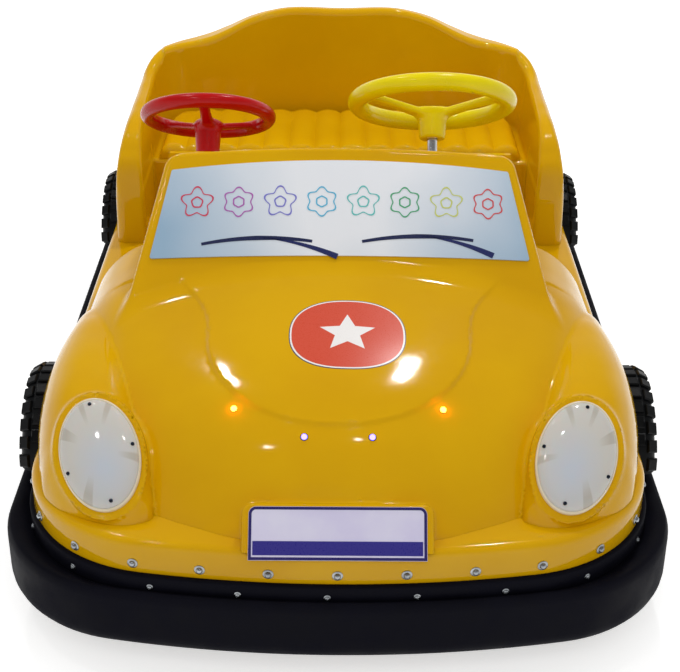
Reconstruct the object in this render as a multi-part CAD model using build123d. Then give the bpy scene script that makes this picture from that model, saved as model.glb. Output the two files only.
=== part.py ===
from build123d import *
import math
import os

os.makedirs("parts", exist_ok=True)

# A two-seat battery bumper car.  Millimetres.  The ground is z = 0, the front faces -Y and +X is
# the driver's side.  The origin is on the ground, under the middle of the rubber bumper ring.

# ---------------------------------------------------------------- driving dimensions
LENGTH = 1940                 # over the rubber bumper ring
WIDTH = 1144
WALL = 6                      # moulded shell
SEAT_GAP = 0.3                # between faces that bear on each other
RUN = 0.05                    # radial clearance of a running shaft

NOSE, TAIL = -LENGTH / 2, LENGTH / 2      # places along the car are measured from these

RING_BOTTOM, RING_TOP = 80, 220
RING_BOW, RING_CORNER = 1900, 270
RING_TOP_ROUND, RING_FOOT_ROUND = 28, 34
FLANGE, FLANGE_STEP = 8, 14      # clamped edge of the ring: thickness, height over the bulge

SKIRT_SIDE_SETBACK = 45       # from the ring's outside to the skirt's, at the side
SKIRT_END_SETBACK = 25        # and at the front and rear tips
SKIRT_BOW, SKIRT_CORNER = 1800, 255
SKIRT_THICK = 5
SKIRT_HALF = WIDTH / 2 - SKIRT_SIDE_SETBACK
LEDGE_TOP = 280

HOOP_THICK = 5
HOOP_FOOT, HOOP_HEAD = 105, 266

WHEEL_R, WHEEL_WIDTH = 100, 50
AXLE_R = 7.5
FORK_Y = NOSE + 350           # steering axis of the driven front wheel
REAR_AXLE_Y = TAIL - 450

RAIL = 40                     # square tube of the chassis
RAIL_WALL = 3
RAIL_X = 250
RAIL_BOTTOM = WHEEL_R - 5     # the rear axle passes through the rails
RAIL_TOP = RAIL_BOTTOM + RAIL
CROSS_Y = (NOSE + 670, TAIL - 720, TAIL - 270)       # cross members that reach the hoop
REAR_WHEEL_X = RAIL_X + 135

FLOOR_BOTTOM = RAIL_TOP + SEAT_GAP
FLOOR_TOP = FLOOR_BOTTOM + SKIRT_THICK
WELL_HALF, WELL_FRONT, WELL_REAR, WELL_CORNER = SKIRT_HALF - 97, NOSE + 550, TAIL - 670, 60
BAY_HALF, BAY_FRONT, BAY_REAR = RAIL_X + 35, NOSE + 155, NOSE + 530       # over the steered wheel
TAIL_BAY_HALF, TAIL_BAY_FRONT, TAIL_BAY_REAR = SKIRT_HALF - 107, TAIL - 640, TAIL - 130

COLUMN_LEAN = 34              # steering columns, degrees back from vertical
DRIVER_CENTRE = (0.4325 * WELL_HALF, NOSE + 1006, 689)
DRIVER_RIM_R, DRIVER_RIM_TUBE = 153, 17.5
TOY_CENTRE = (-0.62 * WELL_HALF, NOSE + 983, 665)
TOY_RIM_R, TOY_RIM_TUBE = 122, 14

CROWN_BOTTOM = 2 * WHEEL_R + 12          # plate over the steered wheel
CROWN_TOP = CROWN_BOTTOM + 10
BRIDGE_Z = CROWN_TOP + 8
HEAD_BOTTOM, HEAD_TOP = BRIDGE_Z - 2, BRIDGE_Z + 60
ARM_Z, ARM_THICK = HEAD_TOP + 6, 8       # steering arms
ARM_LENGTH = 70
ARM_WIDTH = 26
PIN_R = 6
JOINT_Z = ARM_Z + 64          # ball of the driver's column

DUMMY_R, DUMMY_OUTER, DUMMY_WIDTH = 150, WIDTH / 2 - 14, 96
DUMMY_GROOVES = 26
# end, y and height of the centre
DUMMIES = (("front", NOSE + 487, 190), ("rear", TAIL - 480, 190))

SEAT_FRONT, SEAT_DECK, SEAT_LIP = TAIL - 745, 392, 412
CUSHION_FRONT, CUSHION_REAR, CUSHION_HALF = TAIL - 558, TAIL - 280, SKIRT_HALF - 103
PLEATS, CUSHION_BASE, PLEAT_RISE = 14, 24, 9


# ---------------------------------------------------------------- shared outlines
def plan(half_width, tip, bow, corner, inset=0.0):
    """Plan outline, the same at both ends: a bowed end, round corners and straight sides."""
    half_width, tip, bow, corner = (v - inset for v in (half_width, tip, bow, corner))
    corner_x = half_width - corner
    reach = math.sqrt((bow - corner) ** 2 - corner_x ** 2)
    corner_y = tip - bow + reach
    lean = math.atan2(reach, corner_x)

    def on_corner(angle):
        return corner_x + corner * math.cos(angle), corner_y + corner * math.sin(angle)

    join, middle = on_corner(lean), on_corner(lean / 2)
    edges = []
    for s in (1, -1):
        edges.append(ThreePointArc((-join[0], s * join[1]), (0, s * tip), (join[0], s * join[1])))
        for m in (1, -1):
            edges.append(ThreePointArc((m * join[0], s * join[1]), (m * middle[0], s * middle[1]),
                                       (m * half_width, s * corner_y)))
    edges += [Line((m * half_width, -corner_y), (m * half_width, corner_y)) for m in (1, -1)]
    return make_face(edges)


def ring_plan(inset=0.0):
    return plan(WIDTH / 2, TAIL, RING_BOW, RING_CORNER, inset)


def skirt_plan(inset=0.0):
    return plan(SKIRT_HALF, TAIL - SKIRT_END_SETBACK, SKIRT_BOW, SKIRT_CORNER, inset)


def slab(face, low, high):
    return extrude(Pos(0, 0, low) * face, amount=high - low)


def bay(half, front, rear, corner, low, high, grow=0.0):
    """An upright block with rounded corners, for a well or an opening."""
    face = RectangleRounded(2 * (half + grow), rear - front + 2 * grow, corner + grow)
    return slab(Pos(0, (front + rear) / 2) * face, low, high)


def block(x0, x1, y0, y1, z0, z1):
    return Pos((x0 + x1) / 2, (y0 + y1) / 2, (z0 + z1) / 2) * Box(x1 - x0, y1 - y0, z1 - z0)


def station(y):
    """Upright plane across the car at y; its own x is +X and its own y is +Z."""
    return Plane(origin=(0, y, 0), x_dir=(1, 0, 0), z_dir=(0, -1, 0))


def side_prism(outline, half_width):
    """An outline given as (y, z), pushed across the car."""
    plane = Plane(origin=(-half_width, 0, 0), x_dir=(0, 1, 0), z_dir=(1, 0, 0))
    return extrude(plane * outline, amount=2 * half_width)


def front_prism(outline, y0, y1):
    """An outline given as (x, z), pushed along the car."""
    return extrude(station(y1) * outline, amount=y1 - y0)


def save(shape, node):
    export_step(shape, f"parts/{node}.step")


# ---------------------------------------------------------------- bumper ring and its hoop
def bumper_rubber():
    """Moulded ring: a bulging fender and, over it, the upright edge clamped to the skirt."""
    ring = slab(ring_plan(), RING_BOTTOM, RING_TOP - FLANGE_STEP)
    ring = fillet(ring.edges().group_by(Axis.Z)[-1], RING_TOP_ROUND)
    ring = fillet(ring.edges().group_by(Axis.Z)[0], RING_FOOT_ROUND)
    ring += slab(skirt_plan(-FLANGE), RING_TOP - FLANGE_STEP - RING_TOP_ROUND, RING_TOP)
    return ring - slab(skirt_plan(SKIRT_THICK), RING_BOTTOM - 1, RING_TOP + 1)


def bumper_hoop():
    outside = SKIRT_THICK + SEAT_GAP
    return (slab(skirt_plan(outside), HOOP_FOOT, HOOP_HEAD)
            - slab(skirt_plan(outside + HOOP_THICK), HOOP_FOOT - 1, HOOP_HEAD + 1))


# ---------------------------------------------------------------- chassis
HEAD_R, SPINDLE_R = 24, 12.5


def chassis_frame():
    """Two rails, cross members out to the hoop and a bridge that holds the steering head."""
    inside = skirt_plan(SKIRT_THICK + HOOP_THICK + 2 * SEAT_GAP)

    def bars(inner):
        s = RAIL / 2 - inner
        low, high = RAIL_BOTTOM + inner, RAIL_TOP - inner
        parts = [block(x - s, x + s, NOSE, TAIL, low, high) for x in (-RAIL_X, RAIL_X)]
        parts += [block(-WIDTH / 2, WIDTH / 2, y - s, y + s, low, high) for y in CROSS_Y]
        parts += [block(x - s, x + s, FORK_Y - s, FORK_Y + s, low, BRIDGE_Z + RAIL - inner)
                  for x in (-RAIL_X, RAIL_X)]
        parts.append(block(-RAIL_X - s, RAIL_X + s, FORK_Y - s, FORK_Y + s,
                           BRIDGE_Z + inner, BRIDGE_Z + RAIL - inner))
        whole = parts[0]
        for part in parts[1:]:
            whole += part
        return whole

    frame = (bars(0) & slab(inside, 0, 400)) - bars(RAIL_WALL)
    head = Pos(0, FORK_Y, (HEAD_BOTTOM + HEAD_TOP) / 2) * Cylinder(HEAD_R, HEAD_TOP - HEAD_BOTTOM)
    bore = Pos(0, FORK_Y, (HEAD_BOTTOM + HEAD_TOP) / 2) * Cylinder(SPINDLE_R + RUN, 200)
    axle = Plane(origin=(0, REAR_AXLE_Y, WHEEL_R), z_dir=(1, 0, 0)) * Cylinder(AXLE_R + SEAT_GAP, WIDTH)
    return frame + head - bore - axle


# ---------------------------------------------------------------- lower body moulding
def lower_body():
    """Skirt, ledge, sills and the foot well with its floor, as one moulding."""
    top = LEDGE_TOP
    tray = slab(skirt_plan(), RING_TOP + SEAT_GAP, top)
    tray -= slab(skirt_plan(SKIRT_THICK), RING_TOP, top - SKIRT_THICK)
    well = (WELL_HALF, WELL_FRONT, WELL_REAR, WELL_CORNER)
    tray += bay(*well, FLOOR_BOTTOM, top, SKIRT_THICK)
    tray -= bay(*well, FLOOR_TOP, top + 1)
    tray -= bay(BAY_HALF, BAY_FRONT, BAY_REAR, WELL_CORNER, RING_TOP, top + 1)
    tray -= bay(TAIL_BAY_HALF, TAIL_BAY_FRONT, TAIL_BAY_REAR, WELL_CORNER, RING_TOP, top + 1)
    return tray


# ---------------------------------------------------------------- front cowl
FOOT = 270                    # sections run below the ledge and are trimmed on it
SPREAD = SKIRT_HALF / 527     # the cowl's widths below are those of a skirt 527 to a side

# bonnet and nose: distance behind the ring's tip, half widths at foot and shoulder, shoulder, crown
HULL = (
    (41, 60, 36, 276, 279),
    (62, 170, 100, 297, 307),
    (90, 240, 145, 316, 342),
    (150, 345, 205, 352, 398),
    (220, 420, 250, 380, 432),
    (320, 462, 280, 412, 460),
    (450, 478, 305, 450, 486),
    (570, 488, 340, 484, 508),
    (670, 492, 352, 496, 518),
    (770, 492, 356, 500, 520),
)
# fender: distance behind the ring's tip, centre x, half width, crest
FENDER = (
    (96, 345, 14, 276),
    (108, 350, 44, 300),
    (132, 362, 80, 330),
    (170, 376, 106, 368),
    (220, 383, 117, 400),
    (280, 391, 122, 424),
    (370, 401, 123, 440),
    (470, 406, 120, 450),
    (570, 410, 116, 444),
    (660, 412, 113, 410),
    (750, 414, 110, 350),
    (830, 416, 106, 304),
    (890, 418, 100, 276),
)
FENDER_SHOULDER, FENDER_SIDE = 0.62, 0.866      # of the half width and of the height
BONNET_STEP = 5
BONNET_Y, BONNET_R, FLARE_R = NOSE + 420, 231, 172      # plan of the raised panel
ARCH_R, ARCH_X = DUMMY_R + 12, SKIRT_HALF - 77
DASH_FRONT, DASH_REAR = NOSE + 748, NOSE + 962


def section(centre, foot, shoulder, low, side, crown):
    """Crown arc between the shoulders, then a tangent arc down to the foot on each side."""
    x = centre
    top = ThreePointArc((x - shoulder, side), (x, crown), (x + shoulder, side))
    return make_face([
        top,
        TangentArc((x + shoulder, side), (x + foot, low), tangent=top % 1),
        Line((x + foot, low), (x - foot, low)),
        TangentArc((x - shoulder, side), (x - foot, low), tangent=(top % 0) * -1),
    ])


def hull(inset=0.0, lift=0.0, tail=0.0):
    faces = []
    for n, (y, foot, shoulder, side, crown) in enumerate(HULL):
        foot, shoulder = foot * SPREAD - inset, shoulder * SPREAD - inset * 0.6
        last = n == len(HULL) - 1
        y += NOSE + (tail if last else inset * (1 - n / (len(HULL) - 1)))
        faces.append(station(y) * section(0, foot, shoulder, FOOT - inset,
                                          side - inset + lift, crown - inset + lift))
    return loft(faces)


def fender(inset=0.0):
    faces = []
    for n, (y, x, half, crest) in enumerate(FENDER):
        y += NOSE + inset * (1 - 2 * n / (len(FENDER) - 1))
        half, height = half - inset, crest - FOOT
        low = FOOT - inset
        faces.append(station(y) * section(x * SPREAD, half, half * FENDER_SHOULDER, low,
                                          low + height * FENDER_SIDE, low + height))
    return loft(faces)


def bonnet_panel():
    """Plan of the raised bonnet: a round tongue whose sides flare out to the windscreen."""
    flare_x, turn = BONNET_R + FLARE_R, math.radians(75)

    def on_flare(angle):
        return flare_x - FLARE_R * math.cos(angle), BONNET_Y + FLARE_R * math.sin(angle)

    end = on_flare(turn)
    edges = [ThreePointArc((-BONNET_R, BONNET_Y), (0, BONNET_Y - BONNET_R), (BONNET_R, BONNET_Y))]
    for side in (1, -1):
        points = [(side * x, y) for x, y in (on_flare(0), on_flare(turn / 2), end)]
        edges.append(ThreePointArc(*points))
        edges.append(Line((side * end[0], end[1]), (side * end[0], DASH_FRONT - 60)))
    return make_face(edges + [Line((-end[0], DASH_FRONT - 60), (end[0], DASH_FRONT - 60))])


# windscreen hood: side profile as (y, z) and its half widths
HOOD_FOOT_Y, HOOD_FOOT_Z = NOSE + 558, 500
HOOD_TOP_Y, HOOD_TOP_Z = NOSE + 725.6, 682.8
HOOD_DEPTH = 34
HOOD_FOOT_HALF, HOOD_TOP_HALF = SKIRT_HALF - 153, SKIRT_HALF - 204
HOOD_CORNER, HOOD_BURIED = 24, 200


def hood(inset=0.0):
    """The leaning windscreen surround as a solid; inset gives the space inside it."""
    rise = HOOD_TOP_Z - HOOD_FOOT_Z
    drop = HOOD_BURIED * (HOOD_TOP_Y - HOOD_FOOT_Y) / rise
    low, high = HOOD_FOOT_Z - HOOD_BURIED, HOOD_TOP_Z - inset
    back = HOOD_TOP_Y + HOOD_DEPTH + (50 if inset else 0)
    side = make_face(Polyline((HOOD_FOOT_Y - drop + inset, low), (HOOD_TOP_Y + inset, high),
                              (back, high), (back + 40, low), close=True))
    foot, top = HOOD_FOOT_HALF - inset, HOOD_TOP_HALF - inset
    spread = foot + (foot - top) * HOOD_BURIED / rise
    front = make_face(Polyline((-spread, low), (-top, high), (top, high), (spread, low), close=True))
    front = fillet(front.vertices().group_by(Axis.Y)[-1], HOOD_CORNER - inset)
    return side_prism(side, WIDTH / 2) & front_prism(front, NOSE, 0)


PLATE_WIDTH, PLATE_HEIGHT, PLATE_THICK = 280, 84, 3
PLATE_LEAN = 39               # degrees back from upright
PLATE_AT = (0, NOSE + 56, 322)
PAD_MARGIN, PAD_DEPTH = 14, 40


def plate_plane():
    lean = math.radians(PLATE_LEAN)
    return Plane(origin=PLATE_AT, x_dir=(1, 0, 0), z_dir=(0, -math.cos(lean), math.sin(lean)))


LAMP_AT = (SKIRT_HALF - 139, NOSE + 182, 359)
LAMP_FACING, LAMP_ACROSS = (0.064, -0.624, 0.778), (0.956, -0.183, -0.226)
LAMP_HALF_WIDTH, LAMP_HALF_HEIGHT = 66, 100
LAMP_RIM, LAMP_DOME = 5, 18


def lamp_plane():
    return Plane(origin=LAMP_AT, x_dir=LAMP_ACROSS, z_dir=LAMP_FACING)


def both(shape):
    return shape + mirror(shape, about=Plane.YZ)


MARKERS = (("amber", 166, NOSE + 218), ("blue", 57, NOSE + 170))
MARKER_R, MARKER_DEPTH, LENS_PROUD = 7, 160, 2.5


def marker(x, y, grow=0.0):
    """A round lens in the nose, on an upright axis."""
    return Pos(x, y, 400) * Cylinder(MARKER_R + grow, MARKER_DEPTH)


def cowl_outside():
    raised = hull(lift=BONNET_STEP) & slab(bonnet_panel(), FOOT, HOOD_TOP_Z)
    frame = hood() & block(-WIDTH, WIDTH, NOSE, TAIL, 440, HOOD_TOP_Z)
    return hull() + raised + both(fender()) + frame


def wheel_arch(grow=0.0):
    """Room for the moulded front wheel in the fender's side."""
    _, y, z = DUMMIES[0]
    return Plane(origin=(ARCH_X - grow, y, z), z_dir=(1, 0, 0)) * Cylinder(
        ARCH_R + grow, 300, align=(Align.CENTER, Align.CENTER, Align.MIN))


def front_cowl():
    """Nose, fenders, bonnet and windscreen surround in one hollow moulding, open below and behind."""
    shell = cowl_outside() - both(wheel_arch())
    pad = plate_plane() * Pos(0, 0, -PAD_DEPTH / 2) * Box(
        PLATE_WIDTH + 2 * PAD_MARGIN, PLATE_HEIGHT + PAD_MARGIN, PAD_DEPTH)
    shell += pad + both(lamp_seat())
    shell -= hull(WALL, tail=30) + both(fender(WALL)) - both(wheel_arch(WALL))
    shell -= hood(WALL)
    room = Ellipse(LAMP_HALF_WIDTH + SEAT_GAP, LAMP_HALF_HEIGHT + SEAT_GAP)
    shell -= both(lamp_plane() * Pos(0, 0, -SEAT_GAP) * extrude(room, amount=60))
    shell &= slab(skirt_plan(), LEDGE_TOP + SEAT_GAP, 900)
    shell &= block(-WIDTH, WIDTH, NOSE, DASH_FRONT - SEAT_GAP, 0, 900)
    for _, x, y in MARKERS:
        shell -= both(marker(x, y, SEAT_GAP))
    return shell


# ---------------------------------------------------------------- windscreen, plate and lights
PANEL_THICK = 3
PANEL_MARGIN = 21             # of the hood's side left bare
PANEL_FOOT, PANEL_HEAD = 34, 227       # up the slope from the foot of the hood
PANEL_FOOT_CROWN, PANEL_CROWN = 8, 21  # rise of its lower and upper edges


def windscreen_plane():
    rise = HOOD_TOP_Z - HOOD_FOOT_Z
    run = HOOD_TOP_Y - HOOD_FOOT_Y
    return Plane(origin=(0, HOOD_FOOT_Y, HOOD_FOOT_Z), x_dir=(1, 0, 0), z_dir=(0, -rise, run))


def windscreen_panel():
    """Printed sheet bonded on the front of the hood."""
    low, high = PANEL_FOOT, PANEL_HEAD - PANEL_CROWN
    height = math.hypot(HOOD_TOP_Y - HOOD_FOOT_Y, HOOD_TOP_Z - HOOD_FOOT_Z)
    a, b = (HOOD_FOOT_HALF - (HOOD_FOOT_HALF - HOOD_TOP_HALF) * up / height - PANEL_MARGIN
            for up in (low, high))
    face = make_face([
        ThreePointArc((-a, low), (0, low + PANEL_FOOT_CROWN), (a, low)), Line((a, low), (b, high)),
        ThreePointArc((b, high), (0, PANEL_HEAD), (-b, high)), Line((-b, high), (-a, low)),
    ])
    face = fillet(face.vertices(), 4)
    return windscreen_plane() * Pos(0, 0, SEAT_GAP) * extrude(face, amount=PANEL_THICK)


def licence_plate():
    """Blank plate with round top corners."""
    face = Rectangle(PLATE_WIDTH, PLATE_HEIGHT)
    face = fillet(face.vertices().group_by(Axis.Y)[-1], 12)
    return plate_plane() * Pos(0, 0, SEAT_GAP) * extrude(face, amount=PLATE_THICK)


def headlight():
    """Oval rim with a domed lens, on the nose of the driver's side fender."""
    rim = extrude(Ellipse(LAMP_HALF_WIDTH, LAMP_HALF_HEIGHT), amount=LAMP_RIM)
    faces = [Pos(0, 0, LAMP_RIM) * Ellipse(LAMP_HALF_WIDTH - LAMP_RIM, LAMP_HALF_HEIGHT - LAMP_RIM)]
    for part in (0.35, 0.7, 0.95):
        k = math.sqrt(1 - part ** 2)
        faces.append(Pos(0, 0, LAMP_RIM + part * LAMP_DOME) * Ellipse(
            k * (LAMP_HALF_WIDTH - LAMP_RIM), k * (LAMP_HALF_HEIGHT - LAMP_RIM)))
    return lamp_plane() * (rim + loft(faces))


def lamp_seat():
    """Oval boss of the cowl that the headlight is screwed to."""
    face = Ellipse(LAMP_HALF_WIDTH + 4, LAMP_HALF_HEIGHT + 4)
    return lamp_plane() * Pos(0, 0, -SEAT_GAP) * extrude(face, amount=-60)


def marker_lights(x, y):
    lens = (marker(x, y) & hull(lift=LENS_PROUD)) - hull(WALL, tail=30)
    return both(lens)


# ---------------------------------------------------------------- dashboard and columns
DASH_HALF = HOOD_FOOT_HALF - 22
DASH_SHELF_FRONT_Z, DASH_SHELF_REAR_Z, DASH_FOOT_Z = 566, 540, 440
BUSH_R, BUSH_LENGTH, SHAFT_R = 22, 50, 10
CUP_R, CUP_WALL, BALL_R = 18.6, 6, 18


def column(centre):
    """Plane on a steering wheel's centre with its z axis up the column."""
    lean = math.radians(COLUMN_LEAN)
    return Plane(origin=centre, x_dir=(1, 0, 0), z_dir=(0, math.sin(lean), math.cos(lean)))


def along(low, high, radius):
    return Pos(0, 0, (low + high) / 2) * Cylinder(radius, high - low)


def dashboard():
    """Shelf behind the windscreen with a rolled rear edge; the columns' bushes are part of it."""
    w = WALL

    def profile(inset):
        return make_face(Polyline(
            (DASH_FRONT + inset, DASH_FOOT_Z - inset), (DASH_FRONT + inset, HOOD_TOP_Z - 16 - inset),
            (DASH_FRONT + 10 - inset / 2, HOOD_TOP_Z - 16 - inset),
            (DASH_FRONT + 34 - inset / 2, DASH_SHELF_FRONT_Z - inset),
            (DASH_REAR - 16 - inset / 2, DASH_SHELF_REAR_Z - inset),
            (DASH_REAR - inset, DASH_SHELF_REAR_Z - 18 - inset / 2),
            (DASH_REAR - inset, DASH_FOOT_Z - inset), close=True))

    body = side_prism(profile(0), DASH_HALF) - side_prism(profile(w), DASH_HALF - w)
    top = HOOD_TOP_HALF - 8
    body &= front_prism(make_face(Polyline(
        (-DASH_HALF, DASH_FOOT_Z), (-DASH_HALF, 560), (-top, HOOD_TOP_Z), (top, HOOD_TOP_Z),
        (DASH_HALF, 560), (DASH_HALF, DASH_FOOT_Z), close=True)), DASH_FRONT - 10, DASH_REAR + 10)
    for centre in (DRIVER_CENTRE, TOY_CENTRE):
        to_shelf = (centre[2] - DASH_SHELF_FRONT_Z + 12) / math.cos(math.radians(COLUMN_LEAN))
        bush = along(-to_shelf - BUSH_LENGTH / 2, -to_shelf + BUSH_LENGTH / 2, BUSH_R)
        body += column(centre) * bush
        body -= column(centre) * along(-to_shelf - 200, 0, SHAFT_R + RUN)
    return body


def steering_wheel(rim_r, tube, hub_r, spoke_width, spoke_angles, dish, hub_depth):
    """Moulded wheel: round rim, sloping spokes and a hub below the plane of the rim."""
    wheel = Torus(rim_r, tube)
    for angle in spoke_angles:
        foot = Plane(origin=(hub_r * 0.7, 0, -dish), z_dir=(1, 0, 0), x_dir=(0, 1, 0))
        tip = Plane(origin=(rim_r, 0, 0), z_dir=(1, 0, 0), x_dir=(0, 1, 0))
        spoke = loft([foot * RectangleRounded(spoke_width, tube * 0.9, tube * 0.35),
                      tip * RectangleRounded(spoke_width * 1.15, tube * 0.9, tube * 0.35)])
        wheel += Rot(0, 0, angle) * spoke
    hub = revolve(Plane.XZ * make_face(Polyline(
        (0, -dish - hub_depth), (hub_r * 0.8, -dish - hub_depth), (hub_r, -dish - tube * 0.45),
        (hub_r, -dish + tube * 0.45), (hub_r * 0.8, -dish + tube * 0.7), (0, -dish + tube * 0.7),
        close=True)))
    return wheel + hub


DRIVER_HUB = dict(hub_r=29, spoke_width=34, spoke_angles=(-20, -160, 90), dish=26, hub_depth=38)
TOY_HUB = dict(hub_r=25.5, spoke_width=30, spoke_angles=(-90, 40, 140), dish=20, hub_depth=34)
SOCKET = 24                   # of the shaft in the hub


def driver_wheel():
    wheel = steering_wheel(DRIVER_RIM_R, DRIVER_RIM_TUBE, **DRIVER_HUB)
    foot = -DRIVER_HUB["dish"] - DRIVER_HUB["hub_depth"]
    return column(DRIVER_CENTRE) * (wheel - along(foot - 1, foot + SOCKET, SHAFT_R + SEAT_GAP))


def toy_wheel():
    wheel = steering_wheel(TOY_RIM_R, TOY_RIM_TUBE, **TOY_HUB)
    foot = -TOY_HUB["dish"] - TOY_HUB["hub_depth"]
    return column(TOY_CENTRE) * (wheel - along(foot - 1, foot + SOCKET, SHAFT_R + SEAT_GAP))


def joint_centre():
    """Centre of the ball at the foot of the driver's column."""
    x, y, z = DRIVER_CENTRE
    down = (z - JOINT_Z) / math.cos(math.radians(COLUMN_LEAN))
    return x, y - down * math.sin(math.radians(COLUMN_LEAN)), JOINT_Z, down


def driver_shaft():
    """Column shaft with a spherical cup at its foot, over the ball of the drop arm."""
    *_, down = joint_centre()
    foot = -DRIVER_HUB["dish"] - DRIVER_HUB["hub_depth"]
    cup_r = CUP_R + CUP_WALL
    shaft = along(-down + CUP_R + 1, foot + SOCKET - SEAT_GAP, SHAFT_R)
    cup = Pos(0, 0, -down) * (Sphere(cup_r) - Sphere(CUP_R) - Pos(0, 0, -cup_r) * Box(
        4 * cup_r, 4 * cup_r, 2 * cup_r))
    return column(DRIVER_CENTRE) * (shaft + cup)


def toy_shaft():
    foot = -TOY_HUB["dish"] - TOY_HUB["hub_depth"]
    to_shelf = (TOY_CENTRE[2] - DASH_SHELF_FRONT_Z + 12) / math.cos(math.radians(COLUMN_LEAN))
    low = -to_shelf - BUSH_LENGTH / 2 - 8
    shaft = along(low, foot + SOCKET - SEAT_GAP, SHAFT_R)
    collar = along(low - 8, low + 8 - 2 * SEAT_GAP, SHAFT_R + 7)
    return column(TOY_CENTRE) * (shaft + collar)


# ---------------------------------------------------------------- steering linkage
ROD_Z, ROD_THICK, ROD_WIDTH = ARM_Z + 12, 12, 16
EYE_R, OPEN_PLAY = 13, 1.5
POST_R, POST_TOP, DROP_SPINDLE_R = 20, ARM_Z - 6, 8


def link_geometry():
    """Fork and drop arm axes, and the arm vector square to the tie rod."""
    x, y, *_ = joint_centre()
    run_x, run_y = x, y - FORK_Y
    length = math.hypot(run_x, run_y)
    arm = (ARM_LENGTH * run_y / length, -ARM_LENGTH * run_x / length)
    return (0, FORK_Y), (x, y), arm


def link(start, end, low, high, width):
    """Flat bar with round ends between two points in plan."""
    dx, dy = end[0] - start[0], end[1] - start[1]
    length = math.hypot(dx, dy)
    face = SlotCenterToCenter(length, width)
    turn = math.degrees(math.atan2(dy, dx))
    middle = Pos((start[0] + end[0]) / 2, (start[1] + end[1]) / 2, low) * Rot(0, 0, turn)
    return extrude(middle * face, amount=high - low)


def post(x, y, low, high, radius):
    return Pos(x, y, (low + high) / 2) * Cylinder(radius, high - low)


def drop_arm():
    """Short upright spindle with the ball on top and the arm that pushes the tie rod."""
    _, (x, y), arm = link_geometry()
    pin = (x + arm[0], y + arm[1])
    body = post(x, y, FLOOR_TOP + 25, JOINT_Z, DROP_SPINDLE_R)
    body += Pos(x, y, JOINT_Z) * Sphere(BALL_R)
    body += link((x, y), pin, ARM_Z, ARM_Z + ARM_THICK, ARM_WIDTH)
    return body + post(*pin, ARM_Z, ROD_Z + ROD_THICK + 4, PIN_R)


def tie_rod():
    """Bar between the two arms; its front eye has play, because the loop is open there."""
    fork, drop, arm = link_geometry()
    rear = (drop[0] + arm[0], drop[1] + arm[1])
    front = (fork[0] + arm[0], fork[1] + arm[1])
    body = link(rear, front, ROD_Z, ROD_Z + ROD_THICK, ROD_WIDTH)
    for eye in (rear, front):
        body += post(*eye, ROD_Z, ROD_Z + ROD_THICK, EYE_R)
    body -= post(*rear, ROD_Z - 5, ROD_Z + ROD_THICK + 5, PIN_R + RUN)
    return body - post(*front, ROD_Z - 5, ROD_Z + ROD_THICK + 5, PIN_R + OPEN_PLAY)


def steering_post():
    """Bearing post of the drop arm, on a foot plate on the floor."""
    _, (x, y), _ = link_geometry()
    foot = FLOOR_TOP + SEAT_GAP
    body = block(x - 45, x + 45, y - 45, y + 45, foot, foot + 6)
    body += post(x, y, foot, POST_TOP, POST_R)
    return body - post(x, y, foot + 20, POST_TOP + 1, DROP_SPINDLE_R + RUN)


# ---------------------------------------------------------------- steered drive wheel
LEG_THICK, LEG_GAP = 8, 12
MOTOR_R, MOTOR_LENGTH = 44, 96


def fork_frame():
    """Spindle, crown plate, two legs, the axle between them and the steering arm on top."""
    (x, y), _, arm = link_geometry()
    pin = (x + arm[0], y + arm[1])
    leg = WHEEL_WIDTH / 2 + LEG_GAP
    body = post(x, y, CROWN_BOTTOM, ARM_Z + ARM_THICK, SPINDLE_R)
    body += block(-leg - LEG_THICK, leg + LEG_THICK, y - 38, y + 38, CROWN_BOTTOM, CROWN_TOP)
    for side in (-1, 1):
        a, b = sorted((side * leg, side * (leg + LEG_THICK)))
        body += block(a, b, y - 30, y + 30, WHEEL_R - 26, CROWN_TOP)
    axle = Plane(origin=(0, y, WHEEL_R), z_dir=(1, 0, 0)) * Cylinder(AXLE_R, 2 * leg + 2)
    body += axle
    body += link((x, y), pin, ARM_Z, ARM_Z + ARM_THICK, ARM_WIDTH)
    return body + post(*pin, ARM_Z, ROD_Z + ROD_THICK + 4, PIN_R)


def drive_motor():
    """Geared motor flanged to the fork's leg, with its end cap."""
    start = WHEEL_WIDTH / 2 + LEG_GAP + LEG_THICK + SEAT_GAP
    profile = make_face(Polyline(
        (0, 0), (MOTOR_R + 6, 0), (MOTOR_R + 6, 8), (MOTOR_R, 8), (MOTOR_R, MOTOR_LENGTH - 22),
        (MOTOR_R - 4, MOTOR_LENGTH - 22), (MOTOR_R - 4, MOTOR_LENGTH - 4),
        (MOTOR_R - 8, MOTOR_LENGTH), (0, MOTOR_LENGTH), close=True))
    motor = revolve(Plane.XZ * profile)
    return Plane(origin=(start, FORK_Y, WHEEL_R + 20), z_dir=(1, 0, 0)) * motor


def tyre():
    """Solid rubber tyre about its own X axis, with round shoulders and three tread grooves."""
    half, inner = WHEEL_WIDTH / 2, WHEEL_R * 0.68
    face = make_face(Polyline((inner, -half), (WHEEL_R, -half), (WHEEL_R, half), (inner, half),
                              close=True))
    face = fillet(face.vertices().group_by(Axis.X)[-1], 9)
    for offset in (-12, 0, 12):
        face -= Pos(WHEEL_R, offset) * Rectangle(6, 3)
    return Rot(0, 90, 0) * revolve(Plane.XZ * face)


def hub(bore):
    """Dished wheel centre with a raised rim, a web and a boss."""
    half, outer = WHEEL_WIDTH / 2, WHEEL_R * 0.68 - SEAT_GAP
    face = make_face(Polyline(
        (bore, -half), (22, -half), (22, -7), (outer - 10, -7), (outer - 7, -half), (outer, -half),
        (outer, half), (outer - 7, half), (outer - 10, 7), (22, 7), (22, half), (bore, half),
        close=True))
    wheel = revolve(Plane.XZ * face)
    for turn in range(5):
        wheel -= Rot(0, 0, 72 * turn) * Pos(39, 0) * Cylinder(8, 40)
    return Rot(0, 90, 0) * wheel


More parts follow.
